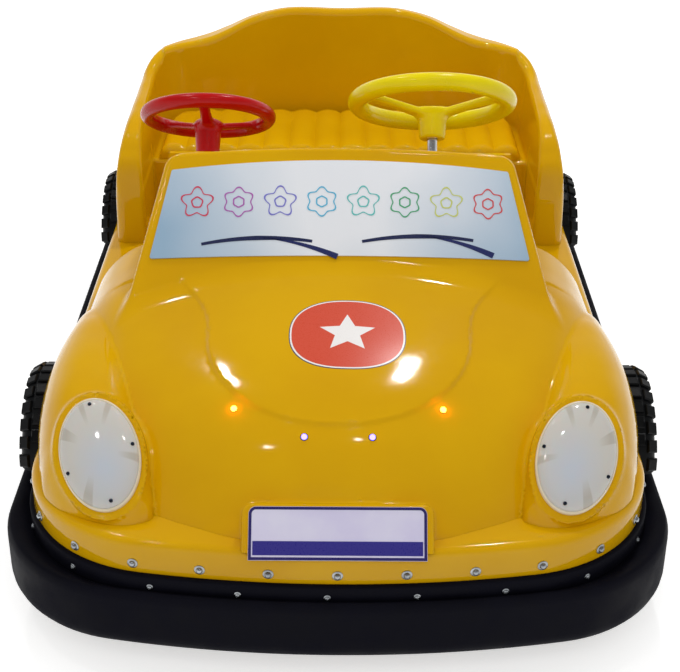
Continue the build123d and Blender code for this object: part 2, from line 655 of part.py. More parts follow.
def rear_axle():
    """Dead axle through the rails and both rear wheels."""
    reach = REAR_WHEEL_X + WHEEL_WIDTH / 2 + 10
    return Plane(origin=(0, REAR_AXLE_Y, WHEEL_R), z_dir=(1, 0, 0)) * Cylinder(AXLE_R, 2 * reach)


# ---------------------------------------------------------------- moulded dummy wheels
def dummy_wheel(y, z, inner):
    """Moulded half wheel on the driver's side: treaded rim, dished face, cut to sit on the ring."""
    r, width = DUMMY_R, DUMMY_OUTER - inner
    face = make_face(Polyline(
        (0, 0), (r - 6, 0), (r, 8), (r, width - 12), (r - 10, width), (r - 38, width),
        (r - 44, width - 12), (r - 86, width - 16), (r - 94, width - 6), (0, width - 2),
        close=True))
    wheel = revolve(Plane.XZ * face)
    for n in range(DUMMY_GROOVES):
        turn = 180 * (n + 0.5) / DUMMY_GROOVES
        wheel -= Rot(0, 0, turn - 90) * Pos(r, 0, width / 2) * Box(10, 7, width - 26)
    wheel = Plane(origin=(inner, y, z), x_dir=(0, 0, 1), z_dir=(1, 0, 0)) * wheel
    wheel &= block(0, WIDTH, y - 300, y + 300, RING_TOP + SEAT_GAP, 600)
    return wheel - block(0, SKIRT_HALF + SEAT_GAP, y - 300, y + 300, 0, LEDGE_TOP + SEAT_GAP)


# ---------------------------------------------------------------- seat moulding
def d_plan(half, front, rear, corner, z):
    """Plan of the seat moulding at one height: square in front, round behind."""
    face = Pos(0, (front + rear) / 2, z) * Rectangle(2 * half, rear - front)
    return fillet(face.vertices().group_by(Axis.Y)[-1], corner)


# outside and inside of the shell: inset from the skirt's side and from the ring's rear, corner
# radius, height
SHELL_OUT = ((20, 65, 215, LEDGE_TOP + SEAT_GAP), (29, 102, 200, 420), (50, 170, 190, 560),
             (70, 232, 170, 700))
SHELL_IN = ((89, 270, 110, SEAT_LIP), (77, 266, 108, 560), (90, 262, 116, 720))
BACK_TOP = 687


def shell_face(row, grow=0.0, front=SEAT_FRONT):
    side, rear, corner, z = row
    return d_plan(SKIRT_HALF - side + grow, front, TAIL - rear + grow, corner + grow, z)


def wing_profile():
    """Side view of the seat: upright front, level arm rest, then up to the back."""
    y = SEAT_FRONT
    low, high = LEDGE_TOP - 80, BACK_TOP + 40
    return make_face([
        Line((y - 5, low), (y - 5, 400)),
        ThreePointArc((y - 5, 400), (y + 28, 478), (y + 95, 524)),
        ThreePointArc((y + 95, 524), (y + 195, 545), (y + 315, 552)),
        ThreePointArc((y + 315, 552), (y + 395, 575), (y + 440, 640)),
        Line((y + 440, 640), (y + 450, high)), Line((y + 450, high), (TAIL, high)),
        Line((TAIL, high), (TAIL, low)), Line((TAIL, low), (y - 5, low))])


def back_profile():
    """Rear view of the seat: a raised middle between two lower shoulders."""
    half = [
        ThreePointArc((0, BACK_TOP), (80, BACK_TOP - 1), (155, BACK_TOP - 4)),
        ThreePointArc((155, BACK_TOP - 4), (222, 664), (282, 634)),
        ThreePointArc((282, 634), (322, 614), (375, 605)),
        Line((375, 605), (WIDTH / 2, 602)),
        Line((WIDTH / 2, 602), (WIDTH / 2, LEDGE_TOP - 80))]
    foot = Line((-WIDTH / 2, LEDGE_TOP - 80), (WIDTH / 2, LEDGE_TOP - 80))
    return make_face(half + [mirror(edge, about=Plane.YZ) for edge in half] + [foot])


def seat_body():
    """Seat shell: two wings, a low back with a raised middle, the deck and the tail below."""
    body = loft([shell_face(row) for row in SHELL_OUT])
    body -= loft([shell_face(row, front=SEAT_FRONT - 60) for row in SHELL_IN])
    foot = SKIRT_HALF - SHELL_IN[0][0]
    body -= block(-foot, foot, SEAT_FRONT - 1, CUSHION_FRONT - 8, LEDGE_TOP - 1, SEAT_LIP + 1)
    # room under the deck for the batteries
    side, rear, corner, z = SHELL_OUT[0]
    body -= loft([
        shell_face((side + 30, rear + 30, corner - 30, z - 5), front=CUSHION_FRONT + 4),
        shell_face((side + 55, rear + 75, corner - 45, SEAT_DECK - 16), front=CUSHION_FRONT + 4)])
    return body & side_prism(wing_profile(), WIDTH / 2) & front_prism(back_profile(), SEAT_FRONT - 25, TAIL)


def bench_seat():
    """Pleated seat top: a row of shallow rolls over a flat base."""
    pitch = 2 * CUSHION_HALF / PLEATS
    low = SEAT_LIP + SEAT_GAP
    edges, x = [], -CUSHION_HALF
    for _ in range(PLEATS):
        edges.append(ThreePointArc((x, low + CUSHION_BASE), (x + pitch / 2, low + CUSHION_BASE + PLEAT_RISE),
                                   (x + pitch, low + CUSHION_BASE)))
        x += pitch
    edges += [Line((-CUSHION_HALF, low + CUSHION_BASE), (-CUSHION_HALF, low)),
              Line((-CUSHION_HALF, low), (CUSHION_HALF, low)),
              Line((CUSHION_HALF, low), (CUSHION_HALF, low + CUSHION_BASE))]
    seat = front_prism(make_face(edges), CUSHION_FRONT, CUSHION_REAR + 20)
    corner = SHELL_IN[0][2] - 8
    return seat & slab(d_plan(CUSHION_HALF + 3, 200, CUSHION_REAR, corner, 0), low - 20, low + 80)


# ---------------------------------------------------------------- batteries and pedal
BATTERY = (330, 190, 200)
BATTERY_Y = TAIL - 358


def battery_tray():
    x, y, _ = BATTERY
    low = RAIL_TOP + SEAT_GAP
    tray = block(-RAIL_X - 30, RAIL_X + 30, BATTERY_Y - y / 2 - 12, BATTERY_Y + y / 2 + 12, low, low + 4)
    lip = block(-x / 2 - 10, x / 2 + 10, BATTERY_Y - y / 2 - 8, BATTERY_Y + y / 2 + 8, low, low + 34)
    return tray + lip - block(-x / 2 - 6, x / 2 + 6, BATTERY_Y - y / 2 - 4, BATTERY_Y + y / 2 + 4,
                              low + 4, low + 60)


def battery_pack():
    x, y, z = BATTERY
    low = RAIL_TOP + 2 * SEAT_GAP + 4
    return block(-x / 2, x / 2, BATTERY_Y - y / 2, BATTERY_Y + y / 2, low, low + z)


def accelerator_pedal():
    """Foot plate on a wedge base, on the floor under the dashboard."""
    low = FLOOR_TOP + SEAT_GAP
    side = make_face(Polyline((0, low), (150, low), (150, low + 8), (138, low + 14),
                              (12, low + 74), (0, low + 74), close=True))
    hollow = make_face(Polyline((8, low - 1), (120, low - 1), (116, low + 14), (14, low + 62),
                                (8, low + 62), close=True))
    pedal = side_prism(side, 45) - side_prism(hollow, 38)
    return Pos(WELL_HALF - 130, NOSE + 640, 0) * pedal


# ---------------------------------------------------------------- write the pieces
def at_wheel(shape, x, y):
    return Pos(x, y, WHEEL_R) * shape


fixed = {
    "bumper_rubber": bumper_rubber(),
    "bumper_hoop": bumper_hoop(),
    "chassis_frame": chassis_frame(),
    "lower_body": lower_body(),
    "front_cowl": front_cowl(),
    "windscreen_panel": windscreen_panel(),
    "licence_plate": licence_plate(),
    "dashboard": dashboard(),
    "steering_post": steering_post(),
    "seat_body": seat_body(),
    "bench_seat": bench_seat(),
    "battery_tray": battery_tray(),
    "battery_pack": battery_pack(),
    "accelerator_pedal": accelerator_pedal(),
    "rear_axle": rear_axle(),
}
for colour, x, y in MARKERS:
    fixed[f"marker_lights_{colour}"] = marker_lights(x, y)
for end, y, z in DUMMIES:
    inner = DUMMY_OUTER - DUMMY_WIDTH if end == "front" else SKIRT_HALF - SHELL_OUT[0][0] + SEAT_GAP
    fixed[f"dummy_wheel_{end}_left"] = dummy_wheel(y, z, inner)
    fixed[f"dummy_wheel_{end}_right"] = mirror(dummy_wheel(y, z, inner), about=Plane.YZ)
fixed["headlight_left"] = headlight()
fixed["headlight_right"] = mirror(headlight(), about=Plane.YZ)

moving = {
    "driver_wheel": driver_wheel(),
    "driver_shaft": driver_shaft(),
    "passenger_wheel": toy_wheel(),
    "passenger_shaft": toy_shaft(),
    "drop_arm": drop_arm(),
    "tie_rod": tie_rod(),
    "fork_frame": fork_frame(),
    "drive_motor": drive_motor(),
    "drive_tyre": at_wheel(tyre(), 0, FORK_Y),
    "drive_hub": at_wheel(hub(AXLE_R + RUN), 0, FORK_Y),
}
for side, x in (("left", REAR_WHEEL_X), ("right", -REAR_WHEEL_X)):
    moving[f"rear_tyre_{side}"] = at_wheel(tyre(), x, REAR_AXLE_Y)
    moving[f"rear_hub_{side}"] = at_wheel(hub(AXLE_R + RUN), x, REAR_AXLE_Y)

for node, shape in {**fixed, **moving}.items():
    save(shape, node)
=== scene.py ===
import math

import bmesh
import bpy
import numpy as np
from mathutils import Matrix, Vector
from mathutils.geometry import tessellate_polygon


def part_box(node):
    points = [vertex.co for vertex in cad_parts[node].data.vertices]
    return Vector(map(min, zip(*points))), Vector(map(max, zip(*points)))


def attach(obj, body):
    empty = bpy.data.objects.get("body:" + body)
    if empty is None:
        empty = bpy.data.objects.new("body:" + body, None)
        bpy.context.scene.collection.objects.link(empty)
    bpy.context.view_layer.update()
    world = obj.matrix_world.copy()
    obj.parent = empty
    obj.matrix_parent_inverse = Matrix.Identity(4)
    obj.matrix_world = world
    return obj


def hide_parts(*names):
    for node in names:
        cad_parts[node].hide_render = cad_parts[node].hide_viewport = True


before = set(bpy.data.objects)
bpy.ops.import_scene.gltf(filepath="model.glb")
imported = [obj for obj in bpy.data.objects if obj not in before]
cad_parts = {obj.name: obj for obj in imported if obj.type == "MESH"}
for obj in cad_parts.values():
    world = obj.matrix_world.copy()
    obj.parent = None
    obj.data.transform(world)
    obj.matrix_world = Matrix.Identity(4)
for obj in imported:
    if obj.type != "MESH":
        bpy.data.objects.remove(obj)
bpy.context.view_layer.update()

# ---------------------------------------------------------------- view, floor and light
# The car stands on a pale floor under soft ceiling lamps, seen from a standing person's height
# in front of it.  Metres; the front faces -Y and +X is the driver's side.
CAMERA_AT = (0.0, -2.755, 1.627)
CAMERA_DOWN, CAMERA_ROLL = 28.0, 0.35          # degrees
CAMERA_SHIFT = 0.0015                          # share of the view's width
LENS, SENSOR = 75.812, 36.0                    # millimetres

camera = bpy.data.objects.new("camera", bpy.data.cameras.new("camera"))
bpy.context.collection.objects.link(camera)
camera.location = CAMERA_AT
tilt = Matrix.Rotation(math.radians(90 - CAMERA_DOWN), 3, "X")
camera.rotation_euler = (tilt @ Matrix.Rotation(math.radians(CAMERA_ROLL), 3, "Z")).to_euler()
camera.data.shift_x = CAMERA_SHIFT
camera.data.sensor_fit = "HORIZONTAL"
camera.data.sensor_width = SENSOR
camera.data.lens = LENS
bpy.context.scene.camera = camera
bpy.context.scene.view_settings.view_transform = "Standard"


def srgb(code):
    """An sRGB hex colour as linear red, green, blue and alpha."""
    values = [int(code[i:i + 2], 16) / 255 for i in (0, 2, 4)]
    return tuple(v / 12.92 if v <= 0.04045 else ((v + 0.055) / 1.055) ** 2.4 for v in values) + (1.0,)


def add(tree, kind, inputs=None, **settings):
    """Add a node to a tree, set it up, and give its inputs values or links."""
    node = tree.nodes.new(kind)
    for key, value in settings.items():
        setattr(node, key, value)
    for socket, value in (inputs or {}).items():
        for one in value if isinstance(value, list) else [value]:
            if isinstance(one, bpy.types.NodeSocket):
                tree.links.new(one, node.inputs[socket])
            else:
                node.inputs[socket].default_value = one
    return node


def new_material(name):
    """An empty material and its tree."""
    material = bpy.data.materials.new(name)
    material.use_nodes = True
    material.node_tree.nodes.clear()
    return material, material.node_tree


def seen_background(tree):
    """1 for a ray from the camera or off a mirror or through glass, 0 for the light itself."""
    path = add(tree, "ShaderNodeLightPath")
    either = add(tree, "ShaderNodeMath", {0: path.outputs["Is Camera Ray"],
                                          1: path.outputs["Is Glossy Ray"]}, operation="MAXIMUM")
    return add(tree, "ShaderNodeMath", {0: either.outputs[0], 1: path.outputs["Is Transmission Ray"]},
               operation="MAXIMUM").outputs[0]


# white all round at eye level, with a greyer ceiling overhead
CEILING, SOFT_LIGHT = 0.24, 0.62
world = bpy.data.worlds.new("studio")
bpy.context.scene.world = world
world.use_nodes = True
tree = world.node_tree
tree.nodes.clear()
way = add(tree, "ShaderNodeSeparateXYZ", {0: add(tree, "ShaderNodeTexCoord").outputs["Generated"]})
height = add(tree, "ShaderNodeMapRange", {"Value": way.outputs["Z"], "From Min": 0.10, "From Max": 0.55,
                                          "To Min": 1.0, "To Max": CEILING})
soft = add(tree, "ShaderNodeBackground", {"Color": srgb("F2F2F0"), "Strength": SOFT_LIGHT})
bright = add(tree, "ShaderNodeBackground", {"Color": (1, 1, 1, 1), "Strength": height.outputs[0]})
mix = add(tree, "ShaderNodeMixShader", {0: seen_background(tree), 1: soft.outputs[0],
                                        2: bright.outputs[0]})
add(tree, "ShaderNodeOutputWorld", {0: mix.outputs[0]})


def stage_material(name, code):
    """Matt studio surface that reads as white where it is looked straight at."""
    material, tree = new_material(name)
    paint = add(tree, "ShaderNodeBsdfDiffuse", {"Color": srgb(code), "Roughness": 0.6})
    glow = add(tree, "ShaderNodeEmission", {"Color": srgb(code), "Strength": 0.60})
    both = add(tree, "ShaderNodeAddShader", {0: paint.outputs[0], 1: glow.outputs[0]})
    mix = add(tree, "ShaderNodeMixShader", {0: seen_background(tree), 1: paint.outputs[0],
                                            2: both.outputs[0]})
    add(tree, "ShaderNodeOutputMaterial", {"Surface": mix.outputs[0]})
    return material


def closed_object(name, verts, faces, material, sharp=35.0):
    """A mesh with its doubles merged and its faces outward, smooth except over sharp edges."""
    body = bmesh.new()
    points = [body.verts.new(v) for v in verts]
    for face in faces:
        body.faces.new([points[n] for n in face])
    bmesh.ops.remove_doubles(body, verts=body.verts[:], dist=1e-6)
    bmesh.ops.recalc_face_normals(body, faces=body.faces[:])
    mesh = bpy.data.meshes.new(name)
    body.to_mesh(mesh)
    body.free()
    mesh.materials.append(material)
    mesh.shade_smooth()
    mesh.set_sharp_from_angle(angle=math.radians(sharp))
    obj = bpy.data.objects.new(name, mesh)
    bpy.context.collection.objects.link(obj)
    return obj


FLOOR_HALF = 12.0
floor = closed_object("floor", [(x * FLOOR_HALF, y * FLOOR_HALF, 0) for x, y in
                                ((-1, -1), (1, -1), (1, 1), (-1, 1))],
                      [(0, 1, 2, 3)], stage_material("studio_floor", "F2F2F2"))

LOOKED_AT = (0.0, 0.0, 0.3)                    # every lamp is aimed at the car's middle
# name, place, size across and along, power in watts
LAMPS = (
    ("ceiling_lamp_left", (-1.26, 0.90, 3.2), (0.13, 0.13), 10),
    ("ceiling_lamp_right", (0.73, 1.06, 3.2), (0.15, 0.15), 20),
    ("ceiling_lamp_near_left", (-1.05, -1.29, 2.8), (0.09, 0.09), 3),
    ("ceiling_lamp_near_right", (0.28, -1.02, 2.8), (0.08, 0.08), 2),
    ("rear_fill", (0.0, 3.0, 3.0), (2.4, 0.8), 20),
    ("front_fill", (0.0, -4.0, 3.4), (3.0, 1.2), 30),
)
for name, place, (across, along), power in LAMPS:
    lamp = bpy.data.objects.new(name, bpy.data.lights.new(name, "AREA"))
    bpy.context.collection.objects.link(lamp)
    lamp.data.shape = "RECTANGLE"
    lamp.data.size, lamp.data.size_y, lamp.data.energy = across, along, power
    lamp.location = place
    lamp.visible_glossy = "fill" not in name       # a fill is not mirrored in the gloss
    lamp.rotation_euler = (Vector(LOOKED_AT) - Vector(place)).to_track_quat("-Z", "Y").to_euler()


# ---------------------------------------------------------------- chassis
# Square steel tube welded into a ladder, inside a flat steel hoop that the bumper ring is bolted
# through; a plate steel tray holds the batteries.  Blasted, then powder coated satin black.
MM = 0.001


def surface(name, colours, patch, gloss, grain, depth, **sockets):
    """A finish whose colour drifts between two shades and whose gloss and fine relief vary.

    patch is the size of the drifts, grain that of the relief and depth its height, millimetres.
    """
    material, tree = new_material(name)
    place = add(tree, "ShaderNodeTexCoord").outputs["Object"]
    drift = add(tree, "ShaderNodeTexNoise", {"Vector": place, "Scale": 1000 / patch, "Detail": 4.0})
    fine = add(tree, "ShaderNodeTexNoise", {"Vector": place, "Scale": 1000 / grain, "Detail": 3.0})
    shade = add(tree, "ShaderNodeMapRange", {"Value": drift.outputs[0], "From Min": 0.35, "From Max": 0.65})
    colour = add(tree, "ShaderNodeMix", {0: shade.outputs[0], 6: srgb(colours[0]), 7: srgb(colours[1])},
                 data_type="RGBA")
    both = add(tree, "ShaderNodeMath", {0: shade.outputs[0], 1: fine.outputs[0]}, operation="MULTIPLY")
    rough = add(tree, "ShaderNodeMapRange", {"Value": both.outputs[0], "From Max": 0.6,
                                             "To Min": gloss[0], "To Max": gloss[1]})
    relief = add(tree, "ShaderNodeBump", {"Height": fine.outputs[0], "Distance": depth * MM})
    shader = add(tree, "ShaderNodeBsdfPrincipled", {
        "Base Color": colour.outputs[2], "Roughness": rough.outputs[0], "Normal": relief.outputs[0],
        **sockets})
    add(tree, "ShaderNodeOutputMaterial", {"Surface": shader.outputs[0]})
    return material


def finish_nodes(material, *nodes):
    """Give carried-over nodes a finish."""
    for node in nodes:
        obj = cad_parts[node]
        if not obj.material_slots:
            obj.data.materials.append(material)
        for place in obj.material_slots:
            place.material = material


# powder coat: a satin skin with a fine orange peel
powder_coat = surface("powder_coat_black", ("1B1C1E", "232427"), 90, (0.38, 0.55), 1.6, 0.06)
# zinc plate: bright grey with a faint bluish and yellowish bloom
zinc_plate = surface("zinc_plated_steel", ("A9ADB0", "8E9296"), 25, (0.25, 0.42), 0.8, 0.01, Metallic=1.0)
finish_nodes(powder_coat, "chassis_frame", "bumper_hoop", "battery_tray")
finish_nodes(zinc_plate, "rear_axle")


# ---------------------------------------------------------------- bumper ring
# One moulded ring of black rubber: a fat bulge, a groove over it and an upright flange, which a
# row of small screws clamps to the skirt.
ring_low, ring_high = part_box("bumper_rubber")
RING = {"half": ring_high[0], "tip": ring_high[1], "bow": 1.9, "corner": 0.245}
SKIRT = {"half": ring_high[0] - 0.045, "tip": ring_high[1] - 0.025, "bow": 1.8, "corner": 0.255}
BOW_STEPS, CORNER_STEPS, SIDE_STEPS = 20, 20, 14


def outline(plan, inset=0.0):
    """Plan of the ring or the skirt, from the middle of the nose round by the driver's side."""
    half, tip, bow, corner = (plan[k] - inset for k in ("half", "tip", "bow", "corner"))
    corner_x = half - corner
    reach = math.sqrt((bow - corner) ** 2 - corner_x ** 2)
    corner_y = tip - bow + reach
    lean = math.atan2(reach, corner_x)
    bowed = np.linspace(math.pi / 2, lean, BOW_STEPS + 1)
    turned = np.linspace(lean, 0, CORNER_STEPS + 1)[1:]
    quarter = np.concatenate([
        np.stack([bow * np.cos(bowed), bow - tip - bow * np.sin(bowed)], 1),
        np.stack([corner_x + corner * np.cos(turned), -corner_y - corner * np.sin(turned)], 1),
        np.stack([np.full(SIDE_STEPS, half), np.linspace(-corner_y, 0, SIDE_STEPS + 1)[1:]], 1)])
    back = quarter[::-1] * (1, -1)
    half_way = np.concatenate([quarter[:-1], back[:-1]])
    return np.concatenate([half_way, -half_way])


def at_height(plan, z):
    """A plan outline as a level row of points."""
    return np.column_stack([plan, np.full(len(plan), z)])


def skin(loops, wrap=False):
    """Points and faces between loops of equally many points; wrap joins the last to the first."""
    count, total = len(loops[0]), len(loops)
    faces = []
    for a in range(total if wrap else total - 1):
        b = (a + 1) % total
        for n in range(count):
            m = (n + 1) % count
            faces.append((a * count + n, a * count + m, b * count + m, b * count + n))
    return np.concatenate(loops).tolist(), faces


def blended(ring_inset, skirt_inset, share, z):
    """A row between the ring's outline (share 0) and the skirt's (share 1)."""
    return at_height((1 - share) * outline(RING, ring_inset) + share * outline(SKIRT, skirt_inset), z)


def bend(radius, turns):
    """A round edge at some turns in degrees: how far it has still to go, and how far it has come in."""
    return [(radius * (1 - math.sin(t)), radius * (1 - math.cos(t))) for t in np.radians(turns)]


RING_FOOT, BULGE_TOP, FLANGE_TOP = ring_low[2], 0.206, ring_high[2]
FOOT_ROUND, FOOT_FLAT, TOP_ROUND, FLANGE, WALL_THICK = 0.034, 0.060, 0.028, 0.008, 0.005
BULGE_TURNS = (0, 8, 16, 24, 32, 40)           # the bulge's top edge turns in this far, then dips
UPRIGHT = (0.130, 0.150, 0.166)                # heights of rows on its upright side
# from the bulge through the groove to the foot of the flange: share of the way, height
GROOVE = ((0.2, 0.1970), (0.45, 0.1965), (0.7, 0.1935), (0.88, 0.1895), (1.0, 0.1870))
# up the flange and over its edge: how far it stands out from the skirt, height
FLANGE_EDGE = ((0.0078, 0.192), (FLANGE, 0.200), (FLANGE, FLANGE_TOP - 0.004),
               (0.0068, FLANGE_TOP - 0.0012), (0.0040, FLANGE_TOP), (0.0, FLANGE_TOP))
rows = [blended(0, WALL_THICK, 1, RING_FOOT), blended(FOOT_FLAT, 0, 0, RING_FOOT)]
rows += [blended(to_go, 0, 0, RING_FOOT + come) for to_go, come in bend(FOOT_ROUND, range(0, 91, 15))]
rows += [blended(0, 0, 0, z) for z in UPRIGHT]
rows += [blended(come, 0, 0, BULGE_TOP - to_go) for to_go, come in bend(TOP_ROUND, BULGE_TURNS)]
crest = bend(TOP_ROUND, BULGE_TURNS)[-1][1]
rows += [blended(crest, -FLANGE, share, z) for share, z in GROOVE]
rows += [blended(0, -out, 1, z) for out, z in FLANGE_EDGE]
rows.append(blended(0, WALL_THICK, 1, FLANGE_TOP))
# moulded rubber: near black, dull, with a fine bloom and the odd scuff
ring_rubber = surface("moulded_rubber", ("0B0B13", "0F0F18"), 60, (0.50, 0.72), 2.2, 0.10,
                      **{"Specular IOR Level": 0.05})
ring = closed_object("bumper_ring", *skin(rows, wrap=True), ring_rubber, sharp=50)
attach(ring, "car")
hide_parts("bumper_rubber")


def copies_tree():
    """Node tree: copies of a shape along a line, stood on the attribute "aim"."""
    tree = bpy.data.node_groups.new("copies_along_a_line", "GeometryNodeTree")
    for name, kind in (("Line", "Geometry"), ("Shape", "Object"), ("Count", "Int"), ("Finish", "Material")):
        tree.interface.new_socket(name, in_out="INPUT", socket_type="NodeSocket" + kind)
    tree.interface.new_socket("Copies", in_out="OUTPUT", socket_type="NodeSocketGeometry")
    given = add(tree, "NodeGroupInput").outputs
    curve = add(tree, "GeometryNodeMeshToCurve", {"Mesh": given["Line"]})
    spaced = add(tree, "GeometryNodeResampleCurve", {"Curve": curve.outputs[0], "Count": given["Count"]})
    shape = add(tree, "GeometryNodeObjectInfo", {"Object": given["Shape"]})
    aim = add(tree, "GeometryNodeInputNamedAttribute", {"Name": "aim"}, data_type="FLOAT_VECTOR")
    stood = add(tree, "FunctionNodeAlignRotationToVector", {"Vector": aim.outputs[0]}, axis="Z")
    along = add(tree, "GeometryNodeInputTangent")
    turned = add(tree, "FunctionNodeAlignRotationToVector", {
        "Rotation": stood.outputs[0], "Vector": along.outputs[0]}, axis="X", pivot_axis="Z")
    placed = add(tree, "GeometryNodeInstanceOnPoints", {
        "Points": spaced.outputs[0], "Instance": shape.outputs["Geometry"], "Rotation": turned.outputs[0]})
    real = add(tree, "GeometryNodeRealizeInstances", {0: placed.outputs[0]})
    done = add(tree, "GeometryNodeSetMaterial", {"Geometry": real.outputs[0], "Material": given["Finish"]})
    add(tree, "NodeGroupOutput", {0: done.outputs[0]})
    return tree


def bake(name, carrier, tree, values):
    """Run a node tree on a mesh and keep the result as a plain mesh in its place."""
    modifier = carrier.modifiers.new("build", "NODES")
    modifier.node_group = tree
    for item in tree.interface.items_tree:
        if item.item_type == "SOCKET" and item.in_out == "INPUT" and item.name in values:
            modifier[item.identifier] = values[item.name]
    graph = bpy.context.evaluated_depsgraph_get()
    mesh = bpy.data.meshes.new_from_object(carrier.evaluated_get(graph), depsgraph=graph)
    mesh.name = name
    carrier.modifiers.remove(modifier)
    bpy.data.objects.remove(carrier)
    obj = bpy.data.objects.new(name, mesh)
    bpy.context.collection.objects.link(obj)
    mesh.shade_smooth()
    mesh.set_sharp_from_angle(angle=math.radians(35))
    return obj


copies = copies_tree()


def copies_along(name, shape, points, aims, count, material, closed=True):
    """Copies of a shape, evenly spaced along a line, each stood on its aim; the shape is used up."""
    mesh = bpy.data.meshes.new("line")
    total = len(points)
    edges = [(n, (n + 1) % total) for n in range(total if closed else total - 1)]
    mesh.from_pydata([tuple(p) for p in points], edges, [])
    aim = mesh.attributes.new("aim", "FLOAT_VECTOR", "POINT")
    aim.data.foreach_set("vector", np.asarray(aims, dtype=float).ravel())
    carrier = bpy.data.objects.new("line", mesh)
    bpy.context.collection.objects.link(carrier)
    row = bake(name, carrier, copies, {"Shape": shape, "Count": count, "Finish": material})
    bpy.data.objects.remove(shape)
    return row


def spun(profile, segments, stretch=(1.0, 1.0), place=Matrix.Identity(4), hollow=False):
    """Points and faces turned from (radius, height) rows about the z axis of a place.

    A hollow one is a ring whose last row meets its first; the others are closed by two flat ends.
    """
    turn = np.arange(segments) * 2 * math.pi / segments
    loops = [np.column_stack([r * stretch[0] * np.cos(turn), r * stretch[1] * np.sin(turn),
                              np.full(segments, h)]) for r, h in profile]
    verts, faces = skin(loops, wrap=hollow)
    for row in () if hollow else (0, len(profile) - 1):
        faces.append(tuple(range(row * segments, (row + 1) * segments)))
    return [place @ Vector(v) for v in verts], faces


def gathered(parts):
    """Points and faces of several parts as one list of each."""
    verts, faces = [], []
    for part_verts, part_faces in parts:
        faces += [tuple(n + len(verts) for n in face) for face in part_faces]
        verts += list(part_verts)
    return verts, faces


def frame_of(at, facing, across):
    """The place of a point, its z axis along facing and its x axis along across."""
    z, x = Vector(facing).normalized(), Vector(across).normalized()
    y = z.cross(x).normalized()
    x = y.cross(z)
    return Matrix(((x[0], y[0], z[0], at[0]), (x[1], y[1], z[1], at[1]), (x[2], y[2], z[2], at[2]),
                   (0, 0, 0, 1)))


def outward(plan):
    """Level directions square to a closed plan outline, away from its middle."""
    along = np.roll(plan, -1, 0) - np.roll(plan, 1, 0)
    out = np.column_stack([along[:, 1], -along[:, 0], np.zeros(len(plan))])
    return out / np.linalg.norm(out, axis=1)[:, None]


def begin_at(values, first):
    """A closed row that starts at another of its points."""
    return np.roll(values, -first, axis=0)


# washer, then a round head with a socket: radius, height
SMALL_SCREW = ((0.0001, -0.002), (0.0056, -0.002), (0.0058, 0.0008), (0.0050, 0.0012), (0.0040, 0.0014),
               (0.0037, 0.0026), (0.0026, 0.0034), (0.0016, 0.0036), (0.0010, 0.0026), (0.0001, 0.0024))
RING_SCREWS, RING_SCREW_Z, FIRST_SCREW_X = 38, 0.2000, -0.021
screw = closed_object("screw", *spun(SMALL_SCREW, 12), zinc_plate)
line = outline(SKIRT, -FLANGE)
first = int(np.argmin(np.hypot(line[:, 0] - FIRST_SCREW_X, line[:, 1] + SKIRT["tip"])))
ring_screws = copies_along("ring_screws", screw, begin_at(at_height(line, RING_SCREW_Z), first),
                           begin_at(outward(line), first), RING_SCREWS, zinc_plate)
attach(ring_screws, "car")


# ---------------------------------------------------------------- lower body
# Skirt, ledge, sills and foot well in one hand laid glass fibre moulding with a glossy yellow
# gelcoat.  Dome headed bolts with washers hold its skirt to the steel hoop.
FLOOR_UNDER, LEDGE_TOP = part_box("lower_body")[0][2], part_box("lower_body")[1][2]
SKIRT_FOOT, FLOOR_TOP = 0.2203, FLOOR_UNDER + WALL_THICK
LEDGE_ROUND, WELL_ROUND, FLOOR_ROUND = 0.013, 0.006, 0.018
# openings in the deck: half width, front, rear, corner
WELL = (SKIRT["half"] - 0.097, -0.420, 0.300, 0.060)
FRONT_BAY = (0.285, -0.815, -0.440, 0.060)
REAR_BAY = (SKIRT["half"] - 0.107, 0.412, 0.840, 0.060)      # behind the seat's front panel
# up the skirt's inside, round its foot and up its outside: inset from its plan, height
SKIRT_ROWS = ((0.007 + WALL_THICK, LEDGE_TOP - WALL_THICK), (WALL_THICK, LEDGE_TOP - 0.012),
              (WALL_THICK, SKIRT_FOOT), (0.0008, SKIRT_FOOT), (0.0, SKIRT_FOOT + 0.002),
              (0.0, LEDGE_TOP - 0.030), (0.0, LEDGE_TOP - LEDGE_ROUND))


def opening(half, front, rear, corner, grow, z):
    """A level loop with round corners."""
    half, front, rear, corner = half + grow, front - grow, rear + grow, corner + grow
    turn = np.linspace(0, math.pi / 2, 9)
    loop = []
    for x, y, start in ((half - corner, rear - corner, 0), (corner - half, rear - corner, 1),
                        (corner - half, front + corner, 2), (half - corner, front + corner, 3)):
        angle = turn + start * math.pi / 2
        loop += [(x + corner * math.cos(a), y + corner * math.sin(a), z) for a in angle]
    return np.array(loop)


# gelcoat on glass fibre: deep warm yellow, very glossy, with a long soft orange peel
gelcoat = surface("yellow_gelcoat", ("DEAA04", "D8A202"), 220, (0.05, 0.13), 9.0, 0.045,
                  **{"Specular IOR Level": 0.22})


